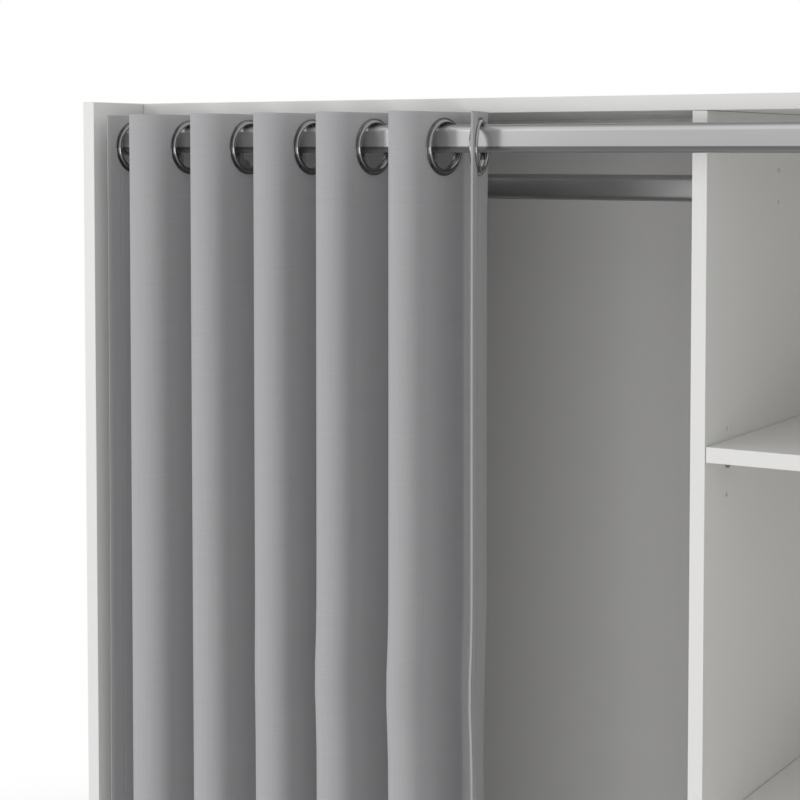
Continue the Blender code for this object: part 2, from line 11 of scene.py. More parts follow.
import bmesh
import bpy
import numpy as np
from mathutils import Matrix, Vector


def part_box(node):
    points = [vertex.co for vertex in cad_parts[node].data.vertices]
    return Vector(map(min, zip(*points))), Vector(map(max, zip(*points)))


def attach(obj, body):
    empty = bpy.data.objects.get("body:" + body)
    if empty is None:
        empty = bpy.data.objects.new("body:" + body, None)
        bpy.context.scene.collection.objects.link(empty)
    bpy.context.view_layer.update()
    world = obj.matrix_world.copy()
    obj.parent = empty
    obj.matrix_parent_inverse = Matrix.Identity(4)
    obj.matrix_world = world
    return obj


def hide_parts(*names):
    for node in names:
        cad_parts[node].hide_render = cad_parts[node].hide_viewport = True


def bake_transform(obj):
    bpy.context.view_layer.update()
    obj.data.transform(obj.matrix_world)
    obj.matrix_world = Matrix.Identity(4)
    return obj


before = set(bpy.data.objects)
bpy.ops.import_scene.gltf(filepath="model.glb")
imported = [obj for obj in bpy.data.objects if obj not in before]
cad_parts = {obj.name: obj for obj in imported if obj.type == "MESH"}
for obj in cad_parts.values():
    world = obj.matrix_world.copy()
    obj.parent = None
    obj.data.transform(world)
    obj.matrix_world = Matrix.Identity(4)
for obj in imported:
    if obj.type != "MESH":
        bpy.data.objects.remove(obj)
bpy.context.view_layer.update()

# %% [markdown]
# ## The camera
#
# A wardrobe is tall, and the picture shows only its upper left corner. The camera stands a
# little over two metres away, right of the middle and at the height of the top board. It looks
# down by less than three degrees, and the lens is shifted down instead, which keeps the upright
# edges almost parallel.

# %% The camera
CAMERA_PLACE = (0.8191, -1.8167, 1.9759)
CAMERA_TURN = 0.5535  # radians to the left of straight ahead
CAMERA_TILT = 0.0481  # radians down
SENSOR_WIDTH = 36.0
LENS_LENGTH = 85.41
LENS_SHIFT = -0.1957

lens = bpy.data.cameras.new("camera")
lens.sensor_width = SENSOR_WIDTH
lens.lens = LENS_LENGTH
lens.shift_y = LENS_SHIFT
lens.clip_end = 60
camera = bpy.data.objects.new("camera", lens)
camera.location = CAMERA_PLACE
camera.rotation_euler = (math.pi / 2 - CAMERA_TILT, 0, CAMERA_TURN)
bpy.context.scene.collection.objects.link(camera)
bpy.context.scene.camera = camera
bpy.context.scene.view_settings.view_transform = "Standard"

# %% [markdown]
# ## Small helpers for shader nodes
#
# A material is a tree of nodes. These helpers add a sum, a mix or a noise to a tree and return
# the socket that carries the result, so that a finish reads like a few lines of arithmetic.


# %% Helpers for shader nodes
def link_or_set(tree, socket, value):
    """Wires a socket to another one, or sets it to a plain value."""
    if isinstance(value, bpy.types.NodeSocket):
        tree.links.new(value, socket)
    else:
        socket.default_value = value


def arithmetic(tree, operation, *values):
    """One Math node, with its inputs wired or set."""
    made = tree.nodes.new("ShaderNodeMath")
    made.operation = operation
    for socket, value in zip(made.inputs, values):
        link_or_set(tree, socket, value)
    return made.outputs[0]


def total(tree, *values):
    """The sum of two values."""
    return arithmetic(tree, "ADD", *values)


def product(tree, *values):
    """The product of two values."""
    return arithmetic(tree, "MULTIPLY", *values)


def difference(tree, *values):
    """The first value less the second."""
    return arithmetic(tree, "SUBTRACT", *values)


def mixed(tree, factor, low, high):
    """A colour between low and high: in a Mix node, inputs 6 and 7 and output 2 are colours."""
    made = tree.nodes.new("ShaderNodeMix")
    made.data_type = "RGBA"
    for socket, value in zip((made.inputs[0], made.inputs[6], made.inputs[7]), (factor, low, high)):
        link_or_set(tree, socket, value)
    return made.outputs[2]


def spread(tree, value, low, high):
    """Stretches a value from the range 0 to 1 to the range low to high, and clips it there."""
    made = tree.nodes.new("ShaderNodeMapRange")
    for label, number in (("Value", value), ("To Min", low), ("To Max", high)):
        link_or_set(tree, made.inputs[label], number)
    return made.outputs[0]


def object_place(tree):
    """A point's place in metres: every piece has its origin at the scene's."""
    return tree.nodes.new("ShaderNodeTexCoord").outputs["Object"]


def parts_of(tree, vector):
    """The three parts of a vector, named X, Y and Z."""
    made = tree.nodes.new("ShaderNodeSeparateXYZ")
    tree.links.new(vector, made.inputs[0])
    return made.outputs


def toned(tree, colour, value):
    """The colour, made brighter or darker by a factor."""
    made = tree.nodes.new("ShaderNodeHueSaturation")
    link_or_set(tree, made.inputs["Color"], colour)
    link_or_set(tree, made.inputs["Value"], value)
    return made.outputs[0]


def stretched(tree, place, stretch):
    """The place, squeezed along some axes, which draws a pattern out along the others."""
    made = tree.nodes.new("ShaderNodeMapping")
    made.inputs["Scale"].default_value = stretch
    tree.links.new(place, made.inputs["Vector"])
    return made.outputs["Vector"]


def noise(tree, place, scale, detail=2.0, stretch=None):
    """Cloudy noise, drawn out where a stretch is given."""
    if stretch is not None:
        place = stretched(tree, place, stretch)
    made = tree.nodes.new("ShaderNodeTexNoise")
    tree.links.new(place, made.inputs["Vector"])
    link_or_set(tree, made.inputs["Scale"], scale)
    made.inputs["Detail"].default_value = detail
    return made.outputs["Fac"]


def swung(tree, middle, wave, change):
    """The middle value, moved up and down by a wave of 0 to 1 times the change."""
    return total(tree, middle, product(tree, difference(tree, wave, 0.5), change))


def new_group(name, **inputs):
    """A node group with named inputs: a tuple's socket takes a colour, a number's a number."""
    tree = bpy.data.node_groups.new(name, "ShaderNodeTree")
    for label, value in inputs.items():
        kind = "NodeSocketColor" if isinstance(value, tuple) else "NodeSocketFloat"
        made = tree.interface.new_socket(label.replace("_", " "), in_out="INPUT", socket_type=kind)
        made.default_value = value
    return tree, tree.nodes.new("NodeGroupInput").outputs


def close_group(tree, **outputs):
    """Gives the group its named outputs, wired to these sockets."""
    for label in outputs:
        kind = "NodeSocketColor" if label == "Colour" else "NodeSocketFloat"
        tree.interface.new_socket(label.replace("_", " "), in_out="OUTPUT", socket_type=kind)
    last = tree.nodes.new("NodeGroupOutput")
    for label, socket in outputs.items():
        tree.links.new(socket, last.inputs[label.replace("_", " ")])


def placed_group(material, name, **values):
    """Puts a node group into a material with this material's own values."""
    made = material.node_tree.nodes.new("ShaderNodeGroup")
    made.node_tree = bpy.data.node_groups[name]
    for label, value in values.items():
        link_or_set(material.node_tree, made.inputs[label.replace("_", " ")], value)
    return made.outputs

# %% [markdown]
# ## Floor and light
#
# The picture is a studio shot on white. To the camera and in mirrors the world is plain white,
# and it lights the surfaces at a softer level. The floor fades into the same white a few metres
# out. A soft lamp stands low in front on the right, and a larger one higher up on the left, so
# the folds are bright on that side and fall into shade on the other. A tall narrow lamp right in
# front glints in the eyelets.

# %% Floor and light
AMBIENT = 0.67
WHITE = (1.0, 1.0, 1.0, 1.0)
FLOOR_HALF = 9.0
FLOOR_GREY = (0.62, 0.62, 0.62, 1.0)
FLOOR_ROUGHNESS = 0.9
FLOOR_NEAR, FLOOR_FAR = 2.2, 4.3  # between these distances the floor fades to plain white
FLOOR_WHITE_SHARE = 0.1  # of plain white in the near floor as it is seen
LAMPS_AIM = (0.0, 0.0, 1.4)


def seen_rays(tree):
    """1 for the rays that show a surface: the camera's, and those mirrored or let through."""
    ray = tree.nodes.new("ShaderNodeLightPath").outputs
    clear = arithmetic(tree, "MAXIMUM", ray["Is Glossy Ray"], ray["Is Transmission Ray"])
    return arithmetic(tree, "MAXIMUM", ray["Is Camera Ray"], clear)


def mix_of_two(tree, factor, first, second, output):
    """A mix of two shaders, wired to the surface of the tree's output node."""
    mix = tree.nodes.new("ShaderNodeMixShader")
    for socket, value in zip(mix.inputs, (factor, first.outputs[0], second.outputs[0])):
        tree.links.new(value, socket)
    tree.links.new(mix.outputs[0], tree.nodes[output].inputs["Surface"])


world = bpy.data.worlds.new("studio")
world.use_nodes = True
bpy.context.scene.world = world
sky = world.node_tree
lit = sky.nodes["Background"]
lit.inputs["Strength"].default_value = AMBIENT
seen = sky.nodes.new("ShaderNodeBackground")
for light in (lit, seen):
    light.inputs["Color"].default_value = WHITE
mix_of_two(sky, seen_rays(sky), lit, seen, "World Output")

ground = bpy.data.materials.new("studio_floor")
ground.use_nodes = True
tree = ground.node_tree
grey = tree.nodes["Principled BSDF"]
grey.inputs["Base Color"].default_value = FLOOR_GREY
grey.inputs["Roughness"].default_value = FLOOR_ROUGHNESS
distance = tree.nodes.new("ShaderNodeVectorMath")
distance.operation = "LENGTH"
tree.links.new(object_place(tree), distance.inputs[0])
fade = tree.nodes.new("ShaderNodeMapRange")
fade.interpolation_type = "SMOOTHSTEP"
for label, value in (("Value", distance.outputs["Value"]), ("From Min", FLOOR_NEAR),
                     ("From Max", FLOOR_FAR), ("To Min", FLOOR_WHITE_SHARE), ("To Max", 1.0)):
    link_or_set(tree, fade.inputs[label], value)
mix_of_two(tree, product(tree, seen_rays(tree), fade.outputs[0]), grey,
           tree.nodes.new("ShaderNodeEmission"), "Material Output")

floor_mesh = bpy.data.meshes.new("floor")
corners = [(FLOOR_HALF * x, FLOOR_HALF * y, 0) for x, y in ((-1, -1), (1, -1), (1, 1), (-1, 1))]
floor_mesh.from_pydata(corners, [], [range(4)])
floor_mesh.materials.append(ground)
floor = bpy.data.objects.new("floor", floor_mesh)
bpy.context.scene.collection.objects.link(floor)


def softbox(name, place, width, height, power):
    """A rectangular area lamp, in metres and watts, that faces the curtain."""
    lamp = bpy.data.lights.new(name, "AREA")
    lamp.shape = "RECTANGLE"
    lamp.size, lamp.size_y = width, height
    lamp.energy = power
    made = bpy.data.objects.new(name, lamp)
    made.location = place
    facing = np.array(place) - np.array(LAMPS_AIM)
    turn = math.atan2(facing[1], facing[0]) + math.pi / 2
    tip = math.atan2(math.hypot(facing[0], facing[1]), facing[2])
    made.rotation_euler = (tip, 0, turn)
    bpy.context.scene.collection.objects.link(made)


softbox("front_light", (1.5, -4.2, 0.8), 2.0, 2.0, 34)
softbox("left_light", (-3.2, -3.2, 2.3), 2.4, 2.4, 37)
softbox("strip_light", (0.4, -4.4, 1.1), 0.4, 1.8, 6)

# %% [markdown]
# ## Surfaces from numbers
#
# Every new piece is a grid of points worked out with numpy: a profile turned about an axis, or
# an outline carried along a path. Neighbouring points are joined by quads. Where a row of points
# shrinks to one place, the points are merged, which closes the surface there.


# %% Grids of points and pieces
def quads(rows, columns, wrap_rows=False, wrap_columns=False):
    """Faces between neighbours of a grid; a wrapped side joins its last line to its first."""
    i, j = np.meshgrid(np.arange(rows if wrap_rows else rows - 1),
                       np.arange(columns if wrap_columns else columns - 1), indexing="ij")
    i2, j2 = (i + 1) % rows, (j + 1) % columns
    corners = (i * columns + j, i2 * columns + j, i2 * columns + j2, i * columns + j2)
    return np.stack(corners, -1).reshape(-1, 4)


def surface(name, parts, smooth_angle=35):
    """An object from (points, faces) parts, merged where points meet, faces outwards."""
    points = np.concatenate([p.reshape(-1, 3) for p, _ in parts])
    starts = np.cumsum([0] + [p.reshape(-1, 3).shape[0] for p, _ in parts[:-1]])
    faces = np.concatenate([f + start for (_, f), start in zip(parts, starts)])
    mesh = bpy.data.meshes.new(name)
    mesh.from_pydata(points.tolist(), [], faces.tolist())
    shell = bmesh.new()
    shell.from_mesh(mesh)
    bmesh.ops.remove_doubles(shell, verts=shell.verts, dist=1e-6)
    bmesh.ops.recalc_face_normals(shell, faces=shell.faces)
    shell.to_mesh(mesh)
    shell.free()
    mesh.shade_smooth()
    mesh.set_sharp_from_angle(angle=math.radians(smooth_angle))
    made = bpy.data.objects.new(name, mesh)
    bpy.context.scene.collection.objects.link(made)
    return made


def dress(piece, material, slot, body, *nodes):
    """Gives a piece its finish and its body, and hides the solids that it stands for."""
    piece.data.materials.append(material)
    if nodes:
        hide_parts(*nodes)
    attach(piece, body)


def coat(material, *nodes):
    """Gives solids that stay in the scene their finish."""
    for node in nodes:
        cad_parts[node].material_slots[0].material = material


def arc(middle, radius, start, end, steps):
    """Points on an arc in the plane, from angle start to angle end in degrees."""
    angle = np.radians(np.linspace(start, end, steps))
    return np.stack([middle[0] + radius * np.cos(angle), middle[1] + radius * np.sin(angle)], -1)


def turned(profile, steps):
    """A profile of (radius, height) turned once about the z axis: x and y are the radius times
    the cosine and the sine of the angle."""
    angle = np.linspace(0, 2 * np.pi, steps, endpoint=False)[:, None]
    radius, height = profile[None, :, 0], profile[None, :, 1]
    return np.stack([radius * np.cos(angle), radius * np.sin(angle),
                     np.broadcast_to(height, (steps, profile.shape[0]))], -1)


def oval(height, width, steps):
    """Outline of an oval tube in the yz plane: two half circles joined by straight sides.
    The two directions are the cosine and sine of one angle, and the half circles are moved
    apart by what the height has over the width."""
    angle = np.linspace(0, 2 * np.pi, 2 * steps, endpoint=False) + np.pi / (2 * steps)
    radius, straight = width / 2, (height - width) / 2
    return np.stack([radius * np.cos(angle),
                     radius * np.sin(angle) + straight * np.sign(np.sin(angle))], -1)


def ring_of(radius, steps):
    """A circle in the yz plane, point for point beside an oval of the same steps."""
    return oval(2 * radius, 2 * radius, steps)


def carried(outlines, along):
    """Outlines in the yz plane, each set at its own x: a (lines, points, 3) grid."""
    stack = np.stack(outlines)
    x = np.broadcast_to(np.array(along)[:, None, None], (*stack.shape[:2], 1))
    return np.concatenate([x, stack], -1)


# %% [markdown]
# ## Finishes
#
# Coated board is smooth but never perfectly even: it has a faint pearl texture and its gloss
# changes a little from place to place. The same soft unevenness is on plastic and on plated
# metal, so it is one node group that each material uses with its own values.

# %% A group for soft unevenness
PALE = (0.8, 0.8, 0.8, 1.0)
CLOUDS_PER_METRE, PATCHES_PER_METRE = 2.3, 24.0
CLOUD_SHARE = 0.6  # in the change of colour; the smaller patches make up the rest

tree, given = new_group("uneven_skin", Colour=PALE, Colour_change=0.02, Roughness=0.5,
                        Roughness_change=0.05, Pearl_size=700.0)
place = object_place(tree)
cloud = noise(tree, place, CLOUDS_PER_METRE, detail=3.0)
patch = noise(tree, place, PATCHES_PER_METRE, detail=4.0)
pearl = noise(tree, place, given["Pearl size"], detail=1.0)
blend = total(tree, product(tree, cloud, CLOUD_SHARE), product(tree, patch, 1 - CLOUD_SHARE))
tone = swung(tree, 1.0, blend, given["Colour change"])
close_group(tree, Colour=toned(tree, given["Colour"], tone), Height=pearl,
            Roughness=swung(tree, given["Roughness"], patch, given["Roughness change"]))

# %% [markdown]
# A board's raw core is only covered where it shows. The front edges carry a thin plastic band,
# and a fine line shows where the band meets the face. The rear edges are left raw, so pressed
# wood chips show there. Both are found by the depth of a point, so one group serves every board
# with the depth of its own front and rear edge.

# %% A group for the edges of a board
BAND_THICKNESS = 0.0009
BAND_LINE_HALF = 0.00012
RAW_DEPTH = 0.0002  # how deep the raw look reaches in from the rear edge
CHIPS_PER_METRE = 520.0
CHIP_STRETCH = (1.0, 1.0, 0.45)
LINE_COLOUR = (0.30, 0.29, 0.27, 1.0)
LINE_SHARE = 0.35  # of that colour in the line
WOOD_DARK, WOOD_PALE = (0.23, 0.13, 0.06, 1.0), (0.62, 0.44, 0.26, 1.0)

tree, given = new_group("board_edges", Colour=PALE, Front=-0.2, Rear=0.2)
place = object_place(tree)
y = parts_of(tree, place)["Y"]
line = arithmetic(tree, "COMPARE", difference(tree, y, given["Front"]), BAND_THICKNESS,
                  BAND_LINE_HALF)
chips = tree.nodes.new("ShaderNodeTexVoronoi")
tree.links.new(stretched(tree, place, CHIP_STRETCH), chips.inputs["Vector"])
chips.inputs["Scale"].default_value = CHIPS_PER_METRE
wood = tree.nodes.new("ShaderNodeValToRGB")
for end, colour in zip(wood.color_ramp.elements, (WOOD_DARK, WOOD_PALE)):
    end.color = colour
chip_tone = tree.nodes.new("ShaderNodeSeparateColor")
tree.links.new(chips.outputs["Color"], chip_tone.inputs[0])
tree.links.new(chip_tone.outputs[0], wood.inputs["Fac"])
raw = arithmetic(tree, "GREATER_THAN", y, difference(tree, given["Rear"], RAW_DEPTH))
seam = mixed(tree, product(tree, line, LINE_SHARE), given["Colour"], LINE_COLOUR)
close_group(tree, Colour=mixed(tree, raw, seam, wood.outputs[0]), Chip_mask=raw,
            Height=product(tree, raw, chip_tone.outputs[0]))


# %% White boards
BOARD_WHITE = (0.82, 0.815, 0.80, 1.0)
BOARD_RELIEF = 0.00002
CHIP_RISE = 12.0  # times the coating's relief
CHIP_ROUGHNESS = 0.9


def new_material(name, **values):
    """A material with one Principled shader, some of whose sockets are set to these values."""
    made = bpy.data.materials.new(name)
    made.use_nodes = True
    shader = made.node_tree.nodes["Principled BSDF"].inputs
    for label, value in values.items():
        shader[label.replace("_", " ")].default_value = value
    return made


def wire_shader(material, height, relief, **values):
    """Feeds a height into the shader's normal, with the relief in metres, and other sockets
    into the shader's own."""
    tree = material.node_tree
    shader = tree.nodes["Principled BSDF"].inputs
    bump = tree.nodes.new("ShaderNodeBump")
    bump.inputs["Distance"].default_value = relief
    tree.links.new(height, bump.inputs["Height"])
    tree.links.new(bump.outputs["Normal"], shader["Normal"])
    for label, socket in values.items():
        tree.links.new(socket, shader[label.replace("_", " ")])


def board_finish(name, nodes):
    """White coated board, with band and raw edge where these nodes have theirs."""
    made = new_material(name)
    tree = made.node_tree
    front = min(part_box(node)[0].y for node in nodes)
    rear = max(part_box(node)[1].y for node in nodes)
    skin = placed_group(made, "uneven_skin", Colour=BOARD_WHITE, Colour_change=0.03,
                        Roughness=0.42, Roughness_change=0.08, Pearl_size=650.0)
    edge = placed_group(made, "board_edges", Colour=skin["Colour"], Front=front, Rear=rear)
    rough = arithmetic(tree, "MAXIMUM", skin["Roughness"],
                       product(tree, edge["Chip mask"], CHIP_ROUGHNESS))
    wire_shader(made, total(tree, skin["Height"], product(tree, edge["Height"], CHIP_RISE)),
                BOARD_RELIEF, Base_Color=edge["Colour"], Roughness=rough)
    coat(made, *nodes)


board_finish("white_side_panel", ["side_panel_left", "side_panel_right"])
board_finish("white_inner_board", ["top_board", "bottom_board"])
board_finish("white_shelf", ["shelf_1", "shelf_2", "shelf_3", "shelf_4"])
for node in ("partition", "plinth_board", "plinth_brace"):
    board_finish("white_" + node, [node])

# %% [markdown]
# ## The back
#
# Thin hardboard closes the back. Its inner face is painted, and its outer face shows the bare
# brown fibres with the print of the wire mesh that it was pressed on. The two sheets slide into a
# plastic strip behind the partition, and small nails hold them to the top and bottom boards.

# %% Hardboard
SHEET_WHITE = (0.81, 0.805, 0.787, 1.0)
MESH_PITCH = 0.0016  # of the pressed wire print
MESH_RISE = 2.0  # times the paint's relief
SHEET_RELIEF = 0.00003
BARE_ROUGHNESS = 0.3  # more than the paint's
FIBRE_DARK, FIBRE_PALE = (0.20, 0.115, 0.06, 1.0), (0.40, 0.26, 0.15, 1.0)
FIBRES_PER_METRE, SHADES_PER_METRE = 260.0, 6.0
FIBRE_STRETCH = (1.0, 1.0, 0.4)
FIBRE_SHARE = 0.6  # in the change of colour; the broad shades make up the rest


def hardboard_finish():
    """Painted on the inside, bare and mesh printed behind: told apart by the point's depth."""
    made = new_material("hardboard")
    tree = made.node_tree
    low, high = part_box("back_sheet_left")
    skin = placed_group(made, "uneven_skin", Colour=SHEET_WHITE, Colour_change=0.05,
                        Roughness=0.55, Roughness_change=0.1, Pearl_size=420.0)
    place = object_place(tree)
    axes = parts_of(tree, place)
    behind = arithmetic(tree, "GREATER_THAN", axes["Y"], (low.y + high.y) / 2)
    fibres = noise(tree, place, FIBRES_PER_METRE, 5.0, FIBRE_STRETCH)
    shades = noise(tree, place, SHADES_PER_METRE, 3.0)
    tone = total(tree, product(tree, fibres, FIBRE_SHARE), product(tree, shades, 1 - FIBRE_SHARE))
    brown = mixed(tree, tone, FIBRE_DARK, FIBRE_PALE)
    wires = [arithmetic(tree, "SINE", product(tree, axes[axis], 2 * math.pi / MESH_PITCH))
             for axis in "XZ"]
    mesh_print = product(tree, behind, product(tree, product(tree, *wires), MESH_RISE))
    wire_shader(made, total(tree, skin["Height"], mesh_print), SHEET_RELIEF,
                Base_Color=mixed(tree, behind, skin["Colour"], brown),
                Roughness=total(tree, product(tree, behind, BARE_ROUGHNESS), skin["Roughness"]))
    return made


coat(hardboard_finish(), "back_sheet_left", "back_sheet_right")


def plain_finish(name, colour, roughness, metallic=0.0, pearl=900.0, relief=0.00001,
                 colour_change=0.05, roughness_change=0.1):
    """A finish of one colour with soft unevenness, for plastic and plated pieces."""
    made = new_material(name, Metallic=metallic)
    skin = placed_group(made, "uneven_skin", Colour=colour, Colour_change=colour_change,
                        Roughness=roughness, Roughness_change=roughness_change, Pearl_size=pearl)
    wire_shader(made, skin["Height"], relief, Base_Color=skin["Colour"],
                Roughness=skin["Roughness"])
    return made


coat(plain_finish("white_plastic", (0.72, 0.72, 0.70, 1.0), 0.4), "back_joining_strip")

# %% Nails in the back
NAIL_HEAD_RADIUS = 0.0019
NAIL_HEAD_RISE = 0.0007
NAIL_HEAD_SINK = 0.0002  # how far a head goes into the sheet
NAIL_SPACING = 0.095
NAIL_MARGIN = 0.03  # from the first and the last nail to the sheet's side edges
NAIL_STEPS = 10


def nail_places():
    """Even rows along the top and the bottom board, a spacing apart as nearly as they divide."""
    for sheet in ("back_sheet_left", "back_sheet_right"):
        low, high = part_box(sheet)
        start, end = low.x + NAIL_MARGIN, high.x - NAIL_MARGIN
        for board in ("top_board", "bottom_board"):
            board_low, board_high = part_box(board)
            for x in np.linspace(start, end, int((end - start) / NAIL_SPACING) + 1):
                yield [x, 0, (board_low.z + board_high.z) / 2]


def nails():
    """Each head is a low dome, a profile turned about an axis that points out of the back."""
    profile = np.concatenate([[[0, -NAIL_HEAD_SINK]], [[NAIL_HEAD_RADIUS, -NAIL_HEAD_SINK]],
                              arc((0, 0), 1, 20, 90, 4) * [NAIL_HEAD_RADIUS, NAIL_HEAD_RISE]])
    head = turned(profile, NAIL_STEPS)[..., [0, 2, 1]] + [0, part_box("back_sheet_left")[1].y, 0]
    faces = quads(NAIL_STEPS, len(profile), wrap_rows=True)
    return surface("back_nails", [(head + place, faces) for place in nail_places()])


nail_metal = plain_finish("nail_metal", (0.42, 0.41, 0.39, 1.0), 0.35, metallic=1.0)
dress(nails(), nail_metal, "zinc_support", "carcass")

# %% [markdown]
# ## Rod and rail
#
# Both are the same oval steel tube, drawn through a die and finished in satin silver. Drawing
# leaves fine lines along the tube, so the noise in this finish is stretched along x. The rod's
# colour also carries painted light: a painted highlight on the shoulder, below painted shade on
# the crest, and painted shade on the underside with a clear edge. These painted bands follow the
# height on the tube. The outline is two half circles joined by straight sides, carried along x
# and turned inwards at the ends.

# %% Satin tube
TUBE_STEPS = 26
TUBE_WALL = 0.0012
LIP_INSET, LIP_EASE = 0.6, 0.3  # of the rounded ends, as shares of the wall
DRAWN_RELIEF = 0.000006
# Scale, detail and stretch of the noise
FINE_LINES = (30.0, 2.0, (0.25, 60.0, 60.0))
BROAD_LINES = (8.0, 2.0, (0.5, 12.0, 12.0))
# Shares of the rod's height, and the factor of painted light at each: painted shade below 1
# on the underside and the crest, a painted highlight above 1 on the shoulder
ROD_PAINTED_SHADE_AND_HIGHLIGHT = ((0.04, 0.76), (0.08, 0.7), (0.11, 0.52), (0.143, 0.4), (0.18, 0.335),
             (0.228, 0.34), (0.229, 1.0), (0.746, 1.0), (0.781, 1.26), (0.862, 1.26),
             (0.882, 0.96), (0.917, 0.7), (0.952, 0.36))

tree, given = new_group("drawn_lines", Colour=PALE, Colour_change=0.1, Roughness=0.3,
                        Roughness_change=0.1)
place = object_place(tree)
fine, broad = noise(tree, place, *FINE_LINES), noise(tree, place, *BROAD_LINES)
tone = swung(tree, 1.0, broad, given["Colour change"])
close_group(tree, Colour=toned(tree, given["Colour"], tone), Height=fine,
            Roughness=swung(tree, given["Roughness"], fine, given["Roughness change"]))


def painted_light_at_height(tree, low, high, shade_and_highlight):
    """A factor of painted light that follows a point's height between low and high: straight lines
    between pairs of a share of that height and a factor, below 1 for painted shade and above 1 for
    a painted highlight. The ramp holds shares of the highest factor."""
    above = difference(tree, parts_of(tree, object_place(tree))["Z"], low)
    ramp = tree.nodes.new("ShaderNodeValToRGB")
    tree.links.new(arithmetic(tree, "DIVIDE", above, high - low), ramp.inputs["Fac"])
    stops = ramp.color_ramp.elements
    highest = max(tone for _, tone in shade_and_highlight)
    for share, tone in shade_and_highlight[1:-1]:
        stops.new(share)
    stops[0].position, stops[-1].position = shade_and_highlight[0][0], shade_and_highlight[-1][0]
    for stop, (share, tone) in zip(stops, shade_and_highlight):
        stop.color = (tone / highest, tone / highest, tone / highest, 1.0)
    return product(tree, ramp.outputs["Color"], highest)


def drawn_finish(name, colour, roughness, metal_share, node=None, shade_and_highlight=()):
    """Satin metal with fine lines along x. What isn't metal is a grey that scatters light.
    Painted shade and painted highlights, where given, follow the height of the node's solid."""
    made = new_material(name, Metallic=metal_share)
    tree = made.node_tree
    lines = placed_group(made, "drawn_lines", Colour=colour, Colour_change=0.12,
                         Roughness=roughness, Roughness_change=0.12)
    metal = lines["Colour"]
    if shade_and_highlight:
        low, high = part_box(node)
        # painted shade and painted highlight, multiplied into the metal's colour along the height
        metal = toned(tree, metal, painted_light_at_height(tree, low.z, high.z, shade_and_highlight))
    wire_shader(made, lines["Height"], DRAWN_RELIEF, Base_Color=metal,
                Roughness=lines["Roughness"])
    return made


# the rod's finish carries painted shade on its underside and crest, and a painted highlight on its
# shoulder
satin_silver = drawn_finish("satin_silver", (0.43, 0.43, 0.435, 1.0), 0.2, 0.5,
                            "curtain_rod", ROD_PAINTED_SHADE_AND_HIGHLIGHT)


def oval_tube(name, node, finish):
    """The tube between the ends of its solid: the outer outline carried to the far end, then
    the inner one carried back. An outline of a size between them rounds each end."""
    low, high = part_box(node)
    outer, lip, inner = (oval(high.z - low.z - inset, high.y - low.y - inset, TUBE_STEPS)
                         for inset in (0, TUBE_WALL * LIP_INSET, 2 * TUBE_WALL))
    ease = TUBE_WALL * LIP_EASE
    grid = carried([outer, outer, lip, inner, inner, lip],
                   [low.x + ease, high.x - ease, high.x, high.x - ease, low.x + ease, low.x])
    grid += [0, (low.y + high.y) / 2, (low.z + high.z) / 2]
    faces = quads(*grid.shape[:2], wrap_rows=True, wrap_columns=True)
    dress(surface(name, [(grid, faces)]), finish, "satin_steel", "carcass", node)


rail_silver = drawn_finish("rail_silver", (0.47, 0.47, 0.475, 1.0), 0.34, 0.88)
oval_tube("curtain_rod_tube", "curtain_rod", satin_silver)
oval_tube("hanging_rail_tube", "hanging_rail", rail_silver)

# %% [markdown]
# ## Rod sockets and rail brackets
#
# The rod's ends sit in round cups on the side panels, with a flange against the board, a
# collar, and an oval pocket. Each is one surface: a run of circles that ends in ovals. The rail's
# cups are ovals all the way, on a longer base plate that covers its two pins.

# %% Cups for the tube ends
CUP_STEPS = 32
PEG_LENGTH = 0.008  # of the peg or the pins in the board
POCKET_HEIGHT, POCKET_WIDTH = 0.0286, 0.0146
POCKET_FLOOR = 0.0015
PEG_RADIUS, FACE_RADIUS = 0.0028, 0.0157
# Radius and distance from the board, over flange and collar to the end face
SOCKET_PROFILE = ((0, -PEG_LENGTH), (PEG_RADIUS, -PEG_LENGTH), (PEG_RADIUS, 0), (0.0175, 0),
                  (0.0181, 0.0003), (0.0183, 0.0009), (0.0183, 0.0021), (0.0181, 0.0027),
                  (0.0175, 0.003), (0.0169, 0.0031), (0.01655, 0.0034), (0.0163, 0.004),
                  (0.0163, 0.0116), (0.0161, 0.0122))
# Share of the way from the face's round rim to the pocket, and distance from the board
FACE_PROFILE = ((0, 0.0125), (0.13, 0.0125), (0.17, 0.0122), (0.19, 0.0111), (0.42, 0.0111),
                (0.44, 0.0122), (0.48, 0.0125), (0.88, 0.0125), (0.96, 0.0122), (1, 0.0116),
                (1, POCKET_FLOOR))
# Inset and distance from the board, over the base plate and then up the oval cup
BASE_PROFILE = ((0.0012, 0), (0.0003, 0.0003), (0, 0.0009), (0, 0.0021), (0.0003, 0.0027),
                (0.0012, 0.003))
CUP_FLOOR = 0.003
CUP_HEIGHT = 0.0334
CUP_PROFILE = ((0.0008, CUP_FLOOR), (0.0012, 0.0036), (0.0012, 0.0112), (0.0018, 0.0118),
               (0.0026, 0.012), (0.0042, 0.012), (0.0048, 0.0114), (0.0048, CUP_FLOOR))
PIN_RADIUS, PIN_SHIFT = 0.0022, 0.016  # one pin above the plate's middle and one below
# Share of the pin's radius, and distance from the board
PIN_PROFILE = ((0, -PEG_LENGTH), (0.85, -PEG_LENGTH), (1, -0.0075), (1, 0.001), (0, 0.001))


def cup_part(stages, side, node, y, z):
    """Outlines at their distances from the board, mirrored for the right-hand side."""
    grid = carried([outline for outline, _ in stages], [side * x for _, x in stages])
    low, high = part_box(node)
    face = low.x + PEG_LENGTH if side > 0 else high.x - PEG_LENGTH
    return grid + [face, y, z], quads(*grid.shape[:2], wrap_columns=True)


